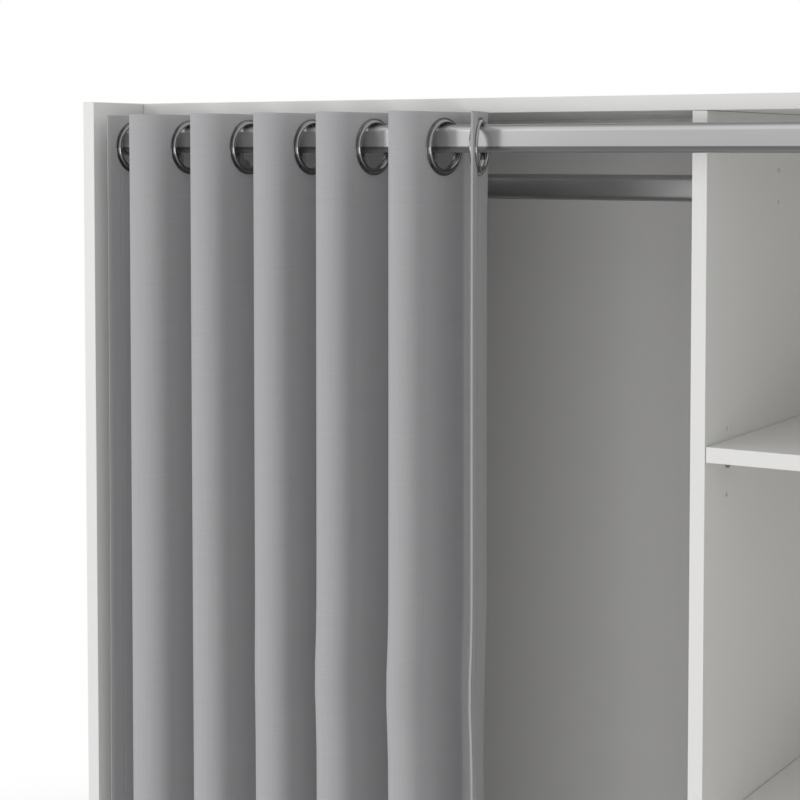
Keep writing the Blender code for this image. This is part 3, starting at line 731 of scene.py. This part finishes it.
def rod_socket(node, side):
    """From a peg in the board over flange and collar into the oval pocket."""
    low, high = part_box(node)
    pocket = oval(POCKET_HEIGHT, POCKET_WIDTH, CUP_STEPS)
    rim = ring_of(FACE_RADIUS, CUP_STEPS)
    stages = [(ring_of(radius, CUP_STEPS), x) for radius, x in SOCKET_PROFILE]
    stages += [((1 - share) * rim + share * pocket, x) for share, x in FACE_PROFILE]
    stages.append((0 * rim, POCKET_FLOOR))
    middle = (low + high) / 2
    return surface(node + "_cup", [cup_part(stages, side, node, middle.y, middle.z)])


def rail_bracket(node, side):
    """From the base plate's back over its rounded edge, up the oval cup and into its pocket,
    and two pins turned about x."""
    low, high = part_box(node)
    rail_low, rail_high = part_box("hanging_rail")
    y, z = (rail_low.y + rail_high.y) / 2, (rail_low.z + rail_high.z) / 2
    base_middle = (low.z + high.z) / 2 - z
    height, width = high.z - low.z, high.y - low.y
    point = ring_of(0, CUP_STEPS)
    stages = [(point + [0, base_middle], 0)]
    stages += [(oval(height - inset, width - inset, CUP_STEPS) + [0, base_middle], x)
               for inset, x in BASE_PROFILE]
    stages += [(oval(CUP_HEIGHT - inset, width - inset, CUP_STEPS), x) for inset, x in CUP_PROFILE]
    parts = [cup_part(stages + [(point, CUP_FLOOR)], side, node, y, z)]
    outline = ring_of(PIN_RADIUS, CUP_STEPS // 2)
    for shift in (PIN_SHIFT, -PIN_SHIFT):
        pin = [(outline * share + [0, base_middle + shift], x) for share, x in PIN_PROFILE]
        parts.append(cup_part(pin, side, node, y, z))
    return surface(node + "_cup", parts)


cast_silver = plain_finish("cast_silver", (0.50, 0.50, 0.505, 1.0), 0.32, metallic=1.0,
                           pearl=1500.0)
for side, word in ((1, "left"), (-1, "right")):
    for maker, node in ((rod_socket, "rod_socket_" + word),
                        (rail_bracket, "hanging_rail_bracket_" + word)):
        dress(maker(node, side), cast_silver, "fitting_metal", "carcass", node)

# %% [markdown]
# ## Small fittings
#
# The shelf supports are plain zinc-plated angles, and the glides under the side panels are grey
# plastic. Their solids already have the right shape, so they only get a finish of their own.

# %% Finishes of the small fittings
DULL_GREY = (0.30, 0.30, 0.31, 1.0)
coat(plain_finish("dull_zinc", DULL_GREY, 0.38, metallic=1.0, pearl=2200.0, relief=0.00002,
                  colour_change=0.3), *(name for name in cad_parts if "_support_" in name))
coat(plain_finish("grey_plastic", DULL_GREY, 0.5),
     *(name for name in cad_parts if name.startswith("glide_")))

# %% [markdown]
# ## Eyelets
#
# An eyelet is pressed from thin metal: a flat flange lies on the cloth, a round bead stands up
# inside it, and a sleeve runs through the hole to the same shape on the other side. One profile
# with arcs for the bead and the edges is turned about the eyelet's axis. Dark polished plating
# shows only what it mirrors, so the smoothness of these arcs matters more than any colour.

# %% Eyelet profile
EYELET_TURNS = 72
EYELET_COUNT = 12
SLOT_HALF = 0.0006
FLANK_TURN = math.radians(84.4)  # of the flanks that run forwards
SHOWN_FLANK_TURN = math.radians(82.3)  # of those that run to the back
LAST_FLANK_TURN = math.radians(106.0)
# Radius and height over the cloth's middle, in the slot for the cloth and on the flat flange
SLOT_ENDS = ((0.0249, SLOT_HALF), (0.0282, SLOT_HALF))
FLANGE_FLAT = ((0.0275, 0.00152), (0.0268, 0.00155))
# Middle and radius of an arc, the degrees from and to which it runs, and its points
FLANGE_TIP = ((0.02855, 0.00105), 0.00045, -90, 90, 8)
BEAD = ((0.02435, 0.0025), 0.0020, -22, 196, 26)
SLEEVE_LIP = ((0.02232, 0.0015), 0.00032, 60, 180, 6)

# From the slot out round the flange, over the bead and down to the sleeve, then mirrored
upper = np.concatenate([SLOT_ENDS, arc(*FLANGE_TIP), FLANGE_FLAT, arc(*BEAD), arc(*SLEEVE_LIP)])
EYELET_PROFILE = np.concatenate([upper, (upper * [1, -1])[::-1]])


def eyelet_centre(number):
    """The middle of the solid eyelet's box."""
    low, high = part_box(f"eyelet_{number:02d}")
    return np.array((low + high) / 2)


def flank_direction(number):
    """Unit vector along the cloth, towards the back, where it passes this eyelet."""
    turn = SHOWN_FLANK_TURN if number % 2 else FLANK_TURN
    turn = LAST_FLANK_TURN if number == EYELET_COUNT else turn
    return np.array([math.cos(turn), math.sin(turn), 0.0])


def eyelet(number):
    """The turned profile, with its axis laid square to the cloth: along, up and axis are the
    columns of the matrix that places it."""
    along, up = flank_direction(number), np.array([0.0, 0.0, 1.0])
    placing = np.stack([along, up, np.cross(along, up)], -1)
    grid = turned(EYELET_PROFILE, EYELET_TURNS) @ placing.T + eyelet_centre(number)
    faces = quads(EYELET_TURNS, len(EYELET_PROFILE), wrap_rows=True, wrap_columns=True)
    return surface(f"eyelet_{number:02d}_ring", [(grid, faces)], smooth_angle=60)


dark_plating = plain_finish("dark_plating", (0.27, 0.27, 0.275, 1.0), 0.05, metallic=1.0,
                            pearl=300.0, relief=0.000004, colour_change=0.15,
                            roughness_change=0.08)
for number in range(1, EYELET_COUNT + 1):
    body = "curtain" if number == EYELET_COUNT else f"eyelet_{number:02d}"
    dress(eyelet(number), dark_plating, "dark_nickel", body, f"eyelet_{number:02d}")

# %% [markdown]
# ## The curtain
#
# Seen from above, the cloth runs to and fro through its eyelets. Its folds lean, because the
# whole curtain is pushed to one side: all flanks but the last are nearly parallel. The plan is
# drawn as a line of corners first, and each corner is replaced by an arc that touches both sides.
# Then the front folds lean a little more, and all bends are spread where the cloth hangs free.

# %% Plan of the folds
EDGE_MARGIN = 0.036  # last eyelet's centre to the cloth's leading edge
FREE_MARGIN = 0.041  # first eyelet's centre to the edge at the side panel
FRONT_DEPTH = 0.0602  # rod's middle to the foremost point of a fold
BACK_DEPTH = 0.0406
FRONT_TIP, SHOWN_TIP = 0.0125, 0.030  # tighter where the cloth comes forwards
BACK_TIP = 0.0098
ARC_STEPS = 41
FRONT_LEAN = 0.08  # sideways, for each length forwards
FLAT_REACH = 0.030  # of flat cloth each way from an eyelet's centre
EASE_STEP = 0.0005  # between points of the plan
EASE_SPREAD = 0.0055  # of the bell curve that spreads the bends

centres = np.array([eyelet_centre(k) for k in range(1, EYELET_COUNT + 1)])
flanks = np.array([flank_direction(k) for k in range(1, EYELET_COUNT + 1)])


def fold_corners():
    """Corner points and their radii: on each flank, where it meets the line of the back folds
    and the line of the front folds, in the order in which the cloth runs."""
    reach = np.array([-FRONT_DEPTH, BACK_DEPTH])[None, :, None] / flanks[:, None, 1:2]
    ends = centres[:, None, :2] + flanks[:, None, :2] * reach
    ends[1::2] = ends[1::2, ::-1]
    radii = np.tile([SHOWN_TIP, BACK_TIP], (EYELET_COUNT, 1))
    radii[1::2] = BACK_TIP, FRONT_TIP
    ends[0, 0] = centres[0, :2] - flanks[0, :2] * FREE_MARGIN
    ends[-1, 1] = centres[-1, :2] - flanks[-1, :2] * EDGE_MARGIN
    return ends.reshape(-1, 2), radii.reshape(-1)


def rounded(corners, radii):
    """The line with an arc at each corner. Half the turn's tangent times the radius is how far
    the arc reaches along each side; the radius gives way where a fold is too narrow for two."""
    steps = np.diff(corners, axis=0)
    length = np.linalg.norm(steps, axis=1)
    heading = steps / length[:, None]
    before, after = heading[:-1], heading[1:]
    turn = np.arctan2(before[:, 0] * after[:, 1] - before[:, 1] * after[:, 0],
                      (before * after).sum(1))
    half = np.tan(np.abs(turn) / 2)
    mate = np.arange(len(half)) ^ 1
    across = np.linalg.norm(corners[1:-1] - corners[1:-1][mate], axis=1)
    reach = radii[1:-1] * half
    radius = radii[1:-1] * np.minimum(1, across / (reach + reach[mate]))
    start = corners[1:-1] - before * (radius * half)[:, None]
    side = np.stack([-before[:, 1], before[:, 0]], -1) * np.sign(turn)[:, None]
    middle = start + side * radius[:, None]
    share = np.linspace(0, 1, ARC_STEPS)[None, :]
    angle = turn[:, None] * share
    spoke = (start - middle)[:, None, :]
    cos, sin = np.cos(angle)[..., None], np.sin(angle)[..., None]
    across_spoke = np.stack([-spoke[..., 1], spoke[..., 0]], -1)
    arcs = middle[:, None, :] + spoke * cos + across_spoke * sin
    return np.concatenate([corners[:1], arcs.reshape(-1, 2), corners[-1:]])


def run_along(line):
    """Length of the line up to each of its points."""
    return np.concatenate([[0], np.cumsum(np.linalg.norm(np.diff(line, axis=0), axis=1))])


def on_line(line, run, places):
    """The points at these places along a line whose points lie at these lengths of run."""
    return np.stack([np.interp(places, run, line[:, k]) for k in (0, 1)], -1)


def evened(line):
    """The same line as points one step apart."""
    run = run_along(line)
    return on_line(line, run, np.arange(0, run[-1], EASE_STEP))


def leaned(line):
    """The line with its front folds moved sideways, in step with how far a point lies before
    the flat part at the eyelets."""
    before = np.clip(centres[0, 1] - FLAT_REACH - line[:, 1:], 0, None)
    return line + before * [FRONT_LEAN, 0]


def eased(line):
    """The line with its bends spread: each point becomes the mean of its neighbours, weighted by
    a bell curve over the length, but not near an eyelet, where the cloth is held flat."""
    points = evened(line)
    reach = int(3 * EASE_SPREAD / EASE_STEP)
    bell = np.exp(-0.5 * (np.arange(-reach, reach + 1) * EASE_STEP / EASE_SPREAD) ** 2)
    lead = points[0] + (points[0] - points[1]) * np.arange(reach, 0, -1)[:, None]
    tail = points[-1] + (points[-1] - points[-2]) * np.arange(1, reach + 1)[:, None]
    longer = np.concatenate([lead, points, tail])
    mean = np.stack([np.convolve(longer[:, k], bell / bell.sum(), "valid") for k in (0, 1)], -1)
    near = np.linalg.norm(points[:, None] - centres[None, :, :2], axis=2).min(1)
    share = np.clip((near - FLAT_REACH) / EASE_SPREAD, 0, 1)[:, None]
    return points * (1 - share) + mean * share


plan = eased(leaned(evened(rounded(*fold_corners()))))
plan_run = run_along(plan)
CLOTH_WIDTH = plan_run[-1]
cad_low, cad_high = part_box("curtain")
CLOTH_TOP, CLOTH_HEM = cad_high.z - 0.001, cad_low.z
print("cloth, flat:", round(CLOTH_WIDTH, 4), "by", round(CLOTH_TOP - CLOTH_HEM, 4))

# %% [markdown]
# The cloth's grid has a column for every stretch of its width and a row for every stretch of its
# height. Lines are closer round the eyelets, where squares of the grid are pulled into circles
# so that the holes come out round, and at the hems, where the cloth is folded over twice.

# %% Columns and rows of the cloth
HOLE_CUT = 0.0265  # radius of the holes
HOLE_BLEND = 0.0305  # half of the square in which the grid is pulled round
NEAR_EYELET = np.array([-HOLE_BLEND, -HOLE_CUT, -0.018, -0.009, 0, 0.009, 0.018, HOLE_CUT,
                        HOLE_BLEND])
SIDE_HEM, TOP_HEM, BOTTOM_HEM = 0.022, 0.090, 0.055
SIDE_COLUMNS = 0.007, 0.014  # from the cloth's side edge, within the hem
HEM_STEP = 0.0007  # over which the cloth's back steps out at a hem
EDGE_PINCH = 0.0004  # over which it thins at its outer edges
COLUMN_LENGTH = 0.014  # of flat cloth in one column
COLUMN_TURN = math.radians(8)
COLUMN_GAP = 0.0008  # that even columns keep from fixed ones
ROW_COUNT, ROW_MARGIN = 62, 0.02  # of even rows between the hems
FINE_POINTS = 60001


def hem_edge(width):
    """Two lines of the grid, one on each side of a hem's inner edge."""
    return width - HEM_STEP / 2, width + HEM_STEP / 2


def cloth_columns():
    """Each column spans the same sum of length and turning, so tips get more of them than flat
    parts. Fixed ones stand round every eyelet and on both sides of each hem's edge."""
    heading = np.diff(plan, axis=0)
    angle = np.unwrap(np.arctan2(heading[:, 1], heading[:, 0]))
    turning = np.concatenate([[0, 0], np.cumsum(np.abs(np.diff(angle)))])
    need = plan_run / COLUMN_LENGTH + turning / COLUMN_TURN
    even = np.interp(np.arange(1, need[-1]), need, plan_run)
    edge = np.array([0, EDGE_PINCH, *SIDE_COLUMNS, *hem_edge(SIDE_HEM)])
    fixed = np.concatenate([(eyelet_runs[:, None] + NEAR_EYELET).ravel(), edge, CLOTH_WIDTH - edge])
    fixed = fixed[(fixed >= 0) & (fixed <= CLOTH_WIDTH)]
    clear_of_holes = np.abs(even[:, None] - eyelet_runs).min(1) > HOLE_BLEND + COLUMN_GAP
    clear_of_fixed = np.abs(even[:, None] - fixed).min(1) > COLUMN_GAP
    return np.unique(np.round(np.concatenate([fixed, even[clear_of_holes & clear_of_fixed]]), 6))


def cloth_rows():
    """Heights from the hem up: even below, close at the hems and round the eyelets."""
    head = CLOTH_TOP - np.array([0, EDGE_PINCH, *hem_edge(TOP_HEM)])
    foot = CLOTH_HEM + np.array([0, EDGE_PINCH, BOTTOM_HEM / 2, *hem_edge(BOTTOM_HEM)])
    even = np.linspace(CLOTH_HEM + BOTTOM_HEM + ROW_MARGIN, CLOTH_TOP - TOP_HEM - ROW_MARGIN,
                       ROW_COUNT)
    return np.unique(np.round(np.concatenate([centres[0, 2] + NEAR_EYELET, head, foot, even]), 6))


fine_run = np.linspace(0, CLOTH_WIDTH, FINE_POINTS)
fine_plan = on_line(plan, plan_run, fine_run)
eyelet_runs = np.array([fine_run[np.linalg.norm(fine_plan - c[:2], axis=1).argmin()]
                        for c in centres])
columns, rows = cloth_columns(), cloth_rows()
print("cloth grid:", len(columns), "by", len(rows))

# %% [markdown]
# Cloth is pulled into holes, hems and folds by small rules. The thickness grows where it is
# hemmed. Below the heading the folds drift a little, each in its own way, and come forwards, as
# heavy cloth does when only its top edge is held. Those at the leading side lean to that side, a
# faint crease from the packing crosses them, and the last back fold shifts below it.

# %% The cloth's surface
CLOTH_THICKNESS = 0.0007
LEADING_HEM_THICKNESS = 0.0020  # folded once more than the other side's
SIDE_HEM_THICKNESS = 0.0010
HEM_THICKNESS = 0.0013
DRIFT = 0.0022
# Waves over the cloth's width, radians for a metre of height, start, and size
SWAY_WAVES = ((5, 2.2, 0.0, 0.6), (11, -3.1, 1.0, 0.4))
FORWARD_WAVE = (7, 1.7, 0.5, 0.8)
FORWARD = 0.9  # times the drift: how far all folds come forwards
FREE_DROP = 1.2  # below the upper edge, from where the folds drift and lean in full
LEAN, LEAN_START, LEAN_END = 0.003, 0.3, 1.0  # grows between two places along the cloth
CREASE_HEIGHT, CREASE_REACH = 1.445, 0.045
CREASE_DEPTH, CREASE_START, CREASE_END = 0.0024, 0.5, 1.1
LAST_FOLD_SHIFT, LAST_FOLD_REACH = 0.0036, 0.03
LAST_FOLD_LOW, LAST_FOLD_HIGH = 1.37, 1.45  # heights between which the shift fades out
HEM_FADE = 0.004  # over which the heading's extra layer starts beside an eyelet
PINCHED = 0.45  # share of the thickness that is left at an outer edge
CLOTH_SHARP = 50  # degrees between faces from which an edge of the cloth is sharp


def smoothstep(value, low, high):
    """0 below low, 1 above high, and an even S between."""
    t = np.clip((value - low) / (high - low), 0, 1)
    return t * t * (3 - 2 * t)


def past_hem(value, edge):
    """0 before a hem's inner edge, 1 past it."""
    return smoothstep(value, edge - HEM_STEP, edge + HEM_STEP)


def wave(fold, z, count, slope, start, size):
    """A wave that runs across the folds and slants with the height."""
    return np.sin(count * fold + slope * z + start) * size


def round_holes(run, z):
    """Pulls grid squares round each eyelet into circles: a point's larger offset becomes its
    radius. The pull fades out between the hole and the end of the flat part. Returns the moved
    run and height, and a mask of the points inside a hole."""
    offset_run = run[..., None] - eyelet_runs
    offset_z = (z - centres[0, 2])[..., None]
    larger = np.maximum(np.abs(offset_run), np.abs(offset_z))
    radius = np.maximum(np.hypot(offset_run, offset_z), 1e-9)
    fade = 1 - np.clip((larger - HOLE_CUT) / (HOLE_BLEND - HOLE_CUT), 0, 1)
    pull = 1 + fade * (larger / radius - 1)
    pull = np.where(larger < HOLE_BLEND, pull, 1)
    moved_run = run + (offset_run * (pull - 1)).sum(-1)
    moved_z = z + (offset_z * (pull - 1)).sum(-1)
    return moved_run, moved_z, (larger < HOLE_CUT - 1e-6).any(-1)


def cloth_grid():
    """Front and back points of the cloth, its flat coordinates, and the holes' mask. A point
    is the plan at its run, moved by the drift, and set off along the plan's normal."""
    run, z = np.meshgrid(columns, rows, indexing="ij")
    run, z, inside = round_holes(run, z)
    place = on_line(plan, plan_run, run)
    heading = np.gradient(fine_plan, axis=0)
    heading /= np.linalg.norm(heading, axis=1)[:, None]
    normal = on_line(heading[:, ::-1] * [1, -1], fine_run, run)
    normal /= np.linalg.norm(normal, axis=-1, keepdims=True)
    hang = smoothstep(CLOTH_TOP - z, TOP_HEM, FREE_DROP)
    fold = run / CLOTH_WIDTH * 2 * np.pi
    sway = sum(wave(fold, z, *values) for values in SWAY_WAVES)
    crease = np.exp(-((z - CREASE_HEIGHT) / CREASE_REACH) ** 2)
    last_fold = np.exp(-((run - CLOTH_WIDTH + EDGE_MARGIN + BACK_DEPTH) / LAST_FOLD_REACH) ** 2)
    place[..., 0] += (DRIFT * hang * sway + LEAN * hang * smoothstep(run, LEAN_START, LEAN_END)
                      - CREASE_DEPTH * crease * smoothstep(run, CREASE_START, CREASE_END)
                      - LAST_FOLD_SHIFT * last_fold
                      * (1 - smoothstep(z, LAST_FOLD_LOW, LAST_FOLD_HIGH)))
    place[..., 1] -= DRIFT * hang * (FORWARD + wave(fold, z, *FORWARD_WAVE))
    from_edge = np.minimum(run, CLOTH_WIDTH - run)
    side = 1 - past_hem(from_edge, SIDE_HEM)
    ends = np.maximum(past_hem(z, CLOTH_TOP - TOP_HEM), 1 - past_hem(z, CLOTH_HEM + BOTTOM_HEM))
    ends *= smoothstep(np.abs(run[..., None] - eyelet_runs).min(-1), HOLE_BLEND,
                       HOLE_BLEND + HEM_FADE)
    hem = np.where(run > CLOTH_WIDTH / 2, LEADING_HEM_THICKNESS, SIDE_HEM_THICKNESS)
    thick = np.maximum(CLOTH_THICKNESS + (hem - CLOTH_THICKNESS) * side,
                       CLOTH_THICKNESS + (HEM_THICKNESS - CLOTH_THICKNESS) * ends)
    lip = np.minimum(from_edge, np.minimum(CLOTH_TOP - z, z - CLOTH_HEM))
    pinch = (PINCHED + (1 - PINCHED) * np.sqrt(np.clip(lip / EDGE_PINCH, 0, 1)))[..., None]
    front = place + normal * CLOTH_THICKNESS / 2 * pinch
    back = place - normal * (thick[..., None] - CLOTH_THICKNESS / 2) * pinch
    return [np.concatenate([face, z[..., None]], -1) for face in (front, back)], run, z, inside


def cloth():
    """Both faces of the cloth, and a wall along every open edge: an edge is open where no
    other face runs along it the other way."""
    (front, back), run, z, inside = cloth_grid()
    count = run.size
    faces = quads(*run.shape)
    faces = faces[~inside.ravel()[faces].any(1)]
    starts, ends = faces.ravel(), np.roll(faces, -1, axis=1).ravel()
    open_edge = ~np.isin(starts * count + ends, ends * count + starts)
    a, b = starts[open_edge], ends[open_edge]
    walls = np.stack([b, a, a + count, b + count], -1)
    every = np.concatenate([faces, faces[:, ::-1] + count, walls])
    points = np.concatenate([front.reshape(-1, 3), back.reshape(-1, 3)])
    flat = np.stack([run.ravel(), z.ravel()], -1)
    used, renumbered = np.unique(every, return_inverse=True)
    mesh = bpy.data.meshes.new("curtain_cloth")
    mesh.from_pydata(points[used].tolist(), [], renumbered.reshape(-1, 4).tolist())
    sheet_uv = mesh.uv_layers.new(name="flat_cloth")
    flat = np.concatenate([flat, flat])[used]
    corner = np.zeros(len(mesh.loops), int)
    mesh.loops.foreach_get("vertex_index", corner)
    sheet_uv.data.foreach_set("uv", flat[corner].ravel().astype(np.float32))
    mesh.shade_smooth()
    mesh.set_sharp_from_angle(angle=math.radians(CLOTH_SHARP))
    made = bpy.data.objects.new("curtain_cloth", mesh)
    bpy.context.scene.collection.objects.link(made)
    return made


curtain_cloth = cloth()

# %% [markdown]
# ## The cloth's finish
#
# The curtain is a plain weave of smooth yarn. The cloth's own flat coordinates carry the weave,
# so it follows the folds: one wave for the yarns that run across, one for those that hang, and
# long thin noise for yarns that are a little thicker or darker than the rest.

# %% A group for woven yarn, and one for rows of stitches
YARN_PITCH = 0.0008
STITCH_SHARE = 0.72  # of a row's pitch that a stitch takes
THREAD_HALF = 0.0003
DIP_REACH = 0.002  # how far beside a row the cloth is drawn in
# Scale, detail and stretch of the noise, for yarns that hang and yarns that run across
HANGING_YARNS = (1.0, 2.0, (900.0, 7.0, 1.0))
LYING_YARNS = (1.0, 2.0, (14.0, 700.0, 1.0))
SLUB_RISE = 0.8  # of the thicker yarns, times the weave's relief


def flat_place(tree):
    """The cloth's own coordinates in metres: along its width and up its height."""
    made = tree.nodes.new("ShaderNodeUVMap")
    made.uv_map = "flat_cloth"
    return made.outputs[0]


tree, given = new_group("plain_weave", Colour=PALE, Yarn_change=0.1, Gap_shade=0.1)
place = flat_place(tree)
flat = parts_of(tree, place)
waves = [arithmetic(tree, "SINE", product(tree, flat[axis], math.pi / YARN_PITCH))
         for axis in "XY"]
over, under = (arithmetic(tree, "ABSOLUTE", wave) for wave in waves)
crossing = product(tree, *waves)
yarn_height = mixed(tree, spread(tree, crossing, 0.0, 1.0), over, under)
hanging, lying = noise(tree, place, *HANGING_YARNS), noise(tree, place, *LYING_YARNS)
slub = difference(tree, total(tree, hanging, lying), 1.0)
gap = difference(tree, 1.0, product(tree, over, under))
shade = difference(tree, product(tree, slub, given["Yarn change"]),
                   product(tree, gap, given["Gap shade"]))
close_group(tree, Colour=toned(tree, given["Colour"], total(tree, shade, 1.0)),
            Height=total(tree, yarn_height, product(tree, slub, SLUB_RISE)))

tree, given = new_group("stitch_row", Along=0.0, Across=0.0, Pitch=0.003)
step = arithmetic(tree, "FRACT", arithmetic(tree, "DIVIDE", given["Along"], given["Pitch"]))
from_middle = arithmetic(tree, "ABSOLUTE", difference(tree, step, 0.5))
dash = arithmetic(tree, "LESS_THAN", from_middle, STITCH_SHARE / 2)
away = arithmetic(tree, "ABSOLUTE", given["Across"])
thread = arithmetic(tree, "LESS_THAN", away, THREAD_HALF)
close_group(tree, Thread=product(tree, dash, thread),
            Dip=spread(tree, arithmetic(tree, "DIVIDE", away, DIP_REACH), 1.0, 0.0))

# %% The curtain's finish
CLOTH_GREY = (0.452, 0.452, 0.462, 1.0)
THREAD_GREY = (0.47, 0.47, 0.48, 1.0)
THREAD_SHARE = 0.5  # of that colour in the stitches
STITCH_PITCH = 0.0032
STITCH_INSET = 0.002  # from a hem's inner edge to its row of stitches
CLOTH_RELIEF = 0.00006
THREAD_RISE, DIP_FALL = 2.0, 3.0  # times the weave's relief


def cloth_finish():
    """Woven yarn, with rows of stitches along the hems."""
    made = new_material("grey_weave", Roughness=0.92, Sheen_Weight=0.12, Sheen_Roughness=0.4)
    tree = made.node_tree
    weave = placed_group(made, "plain_weave", Colour=CLOTH_GREY, Yarn_change=0.11, Gap_shade=0.06)
    flat = parts_of(tree, flat_place(tree))
    run, z = flat["X"], flat["Y"]
    thread, dip = 0.0, 0.0
    for along, across, line in ((z, run, SIDE_HEM - STITCH_INSET),
                                (z, run, CLOTH_WIDTH - SIDE_HEM + STITCH_INSET),
                                (run, z, CLOTH_HEM + BOTTOM_HEM - STITCH_INSET),
                                (run, z, CLOTH_TOP - TOP_HEM + STITCH_INSET)):
        row = placed_group(made, "stitch_row", Along=along, Across=difference(tree, across, line),
                           Pitch=STITCH_PITCH)
        thread = arithmetic(tree, "MAXIMUM", row["Thread"], thread)
        dip = arithmetic(tree, "MAXIMUM", row["Dip"], dip)
    raised = total(tree, weave["Height"], product(tree, thread, THREAD_RISE))
    wire_shader(made, difference(tree, raised, product(tree, dip, DIP_FALL)), CLOTH_RELIEF,
                Base_Color=mixed(tree, product(tree, thread, THREAD_SHARE), weave["Colour"],
                                 THREAD_GREY))
    return made


curtain_cloth.data.materials.append(cloth_finish())
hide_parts("curtain")

# %% [markdown]
# The curtain is drawn by its leading edge. That edge and the last eyelet move as one, and the
# wall end hardly moves. In between, a point's share of the motion grows smoothly along a line
# square to the middle direction of the flanks. Here that line's start and end are worked out, and
# the shares of the eyelets are printed.

# %% The curtain's motion
CAD_CLOTH_THICKNESS = 0.0008
LEAD_IN = 0.056  # before the first eyelet
LEAD_OUT = 0.0018  # before the last back fold
MOTION_TURN = (FLANK_TURN + SHOWN_FLANK_TURN) / 2
across_flanks = np.array([math.sin(MOTION_TURN), -math.cos(MOTION_TURN), 0.0])
last_back = centres[-1] + flanks[-1] * ((BACK_DEPTH + CAD_CLOTH_THICKNESS / 2) / flanks[-1][1])
start_reach = centres[0] @ across_flanks - LEAD_IN
end_reach = last_back @ across_flanks - LEAD_OUT
origin = np.array([0.0, centres[0][1], centres[0][2]])
origin = origin - across_flanks * (origin @ across_flanks)
start, end = origin + across_flanks * start_reach, origin + across_flanks * end_reach
print("shares of the eyelets:",
      np.round(smoothstep(centres @ across_flanks, start_reach, end_reach), 4))
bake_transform(curtain_cloth)
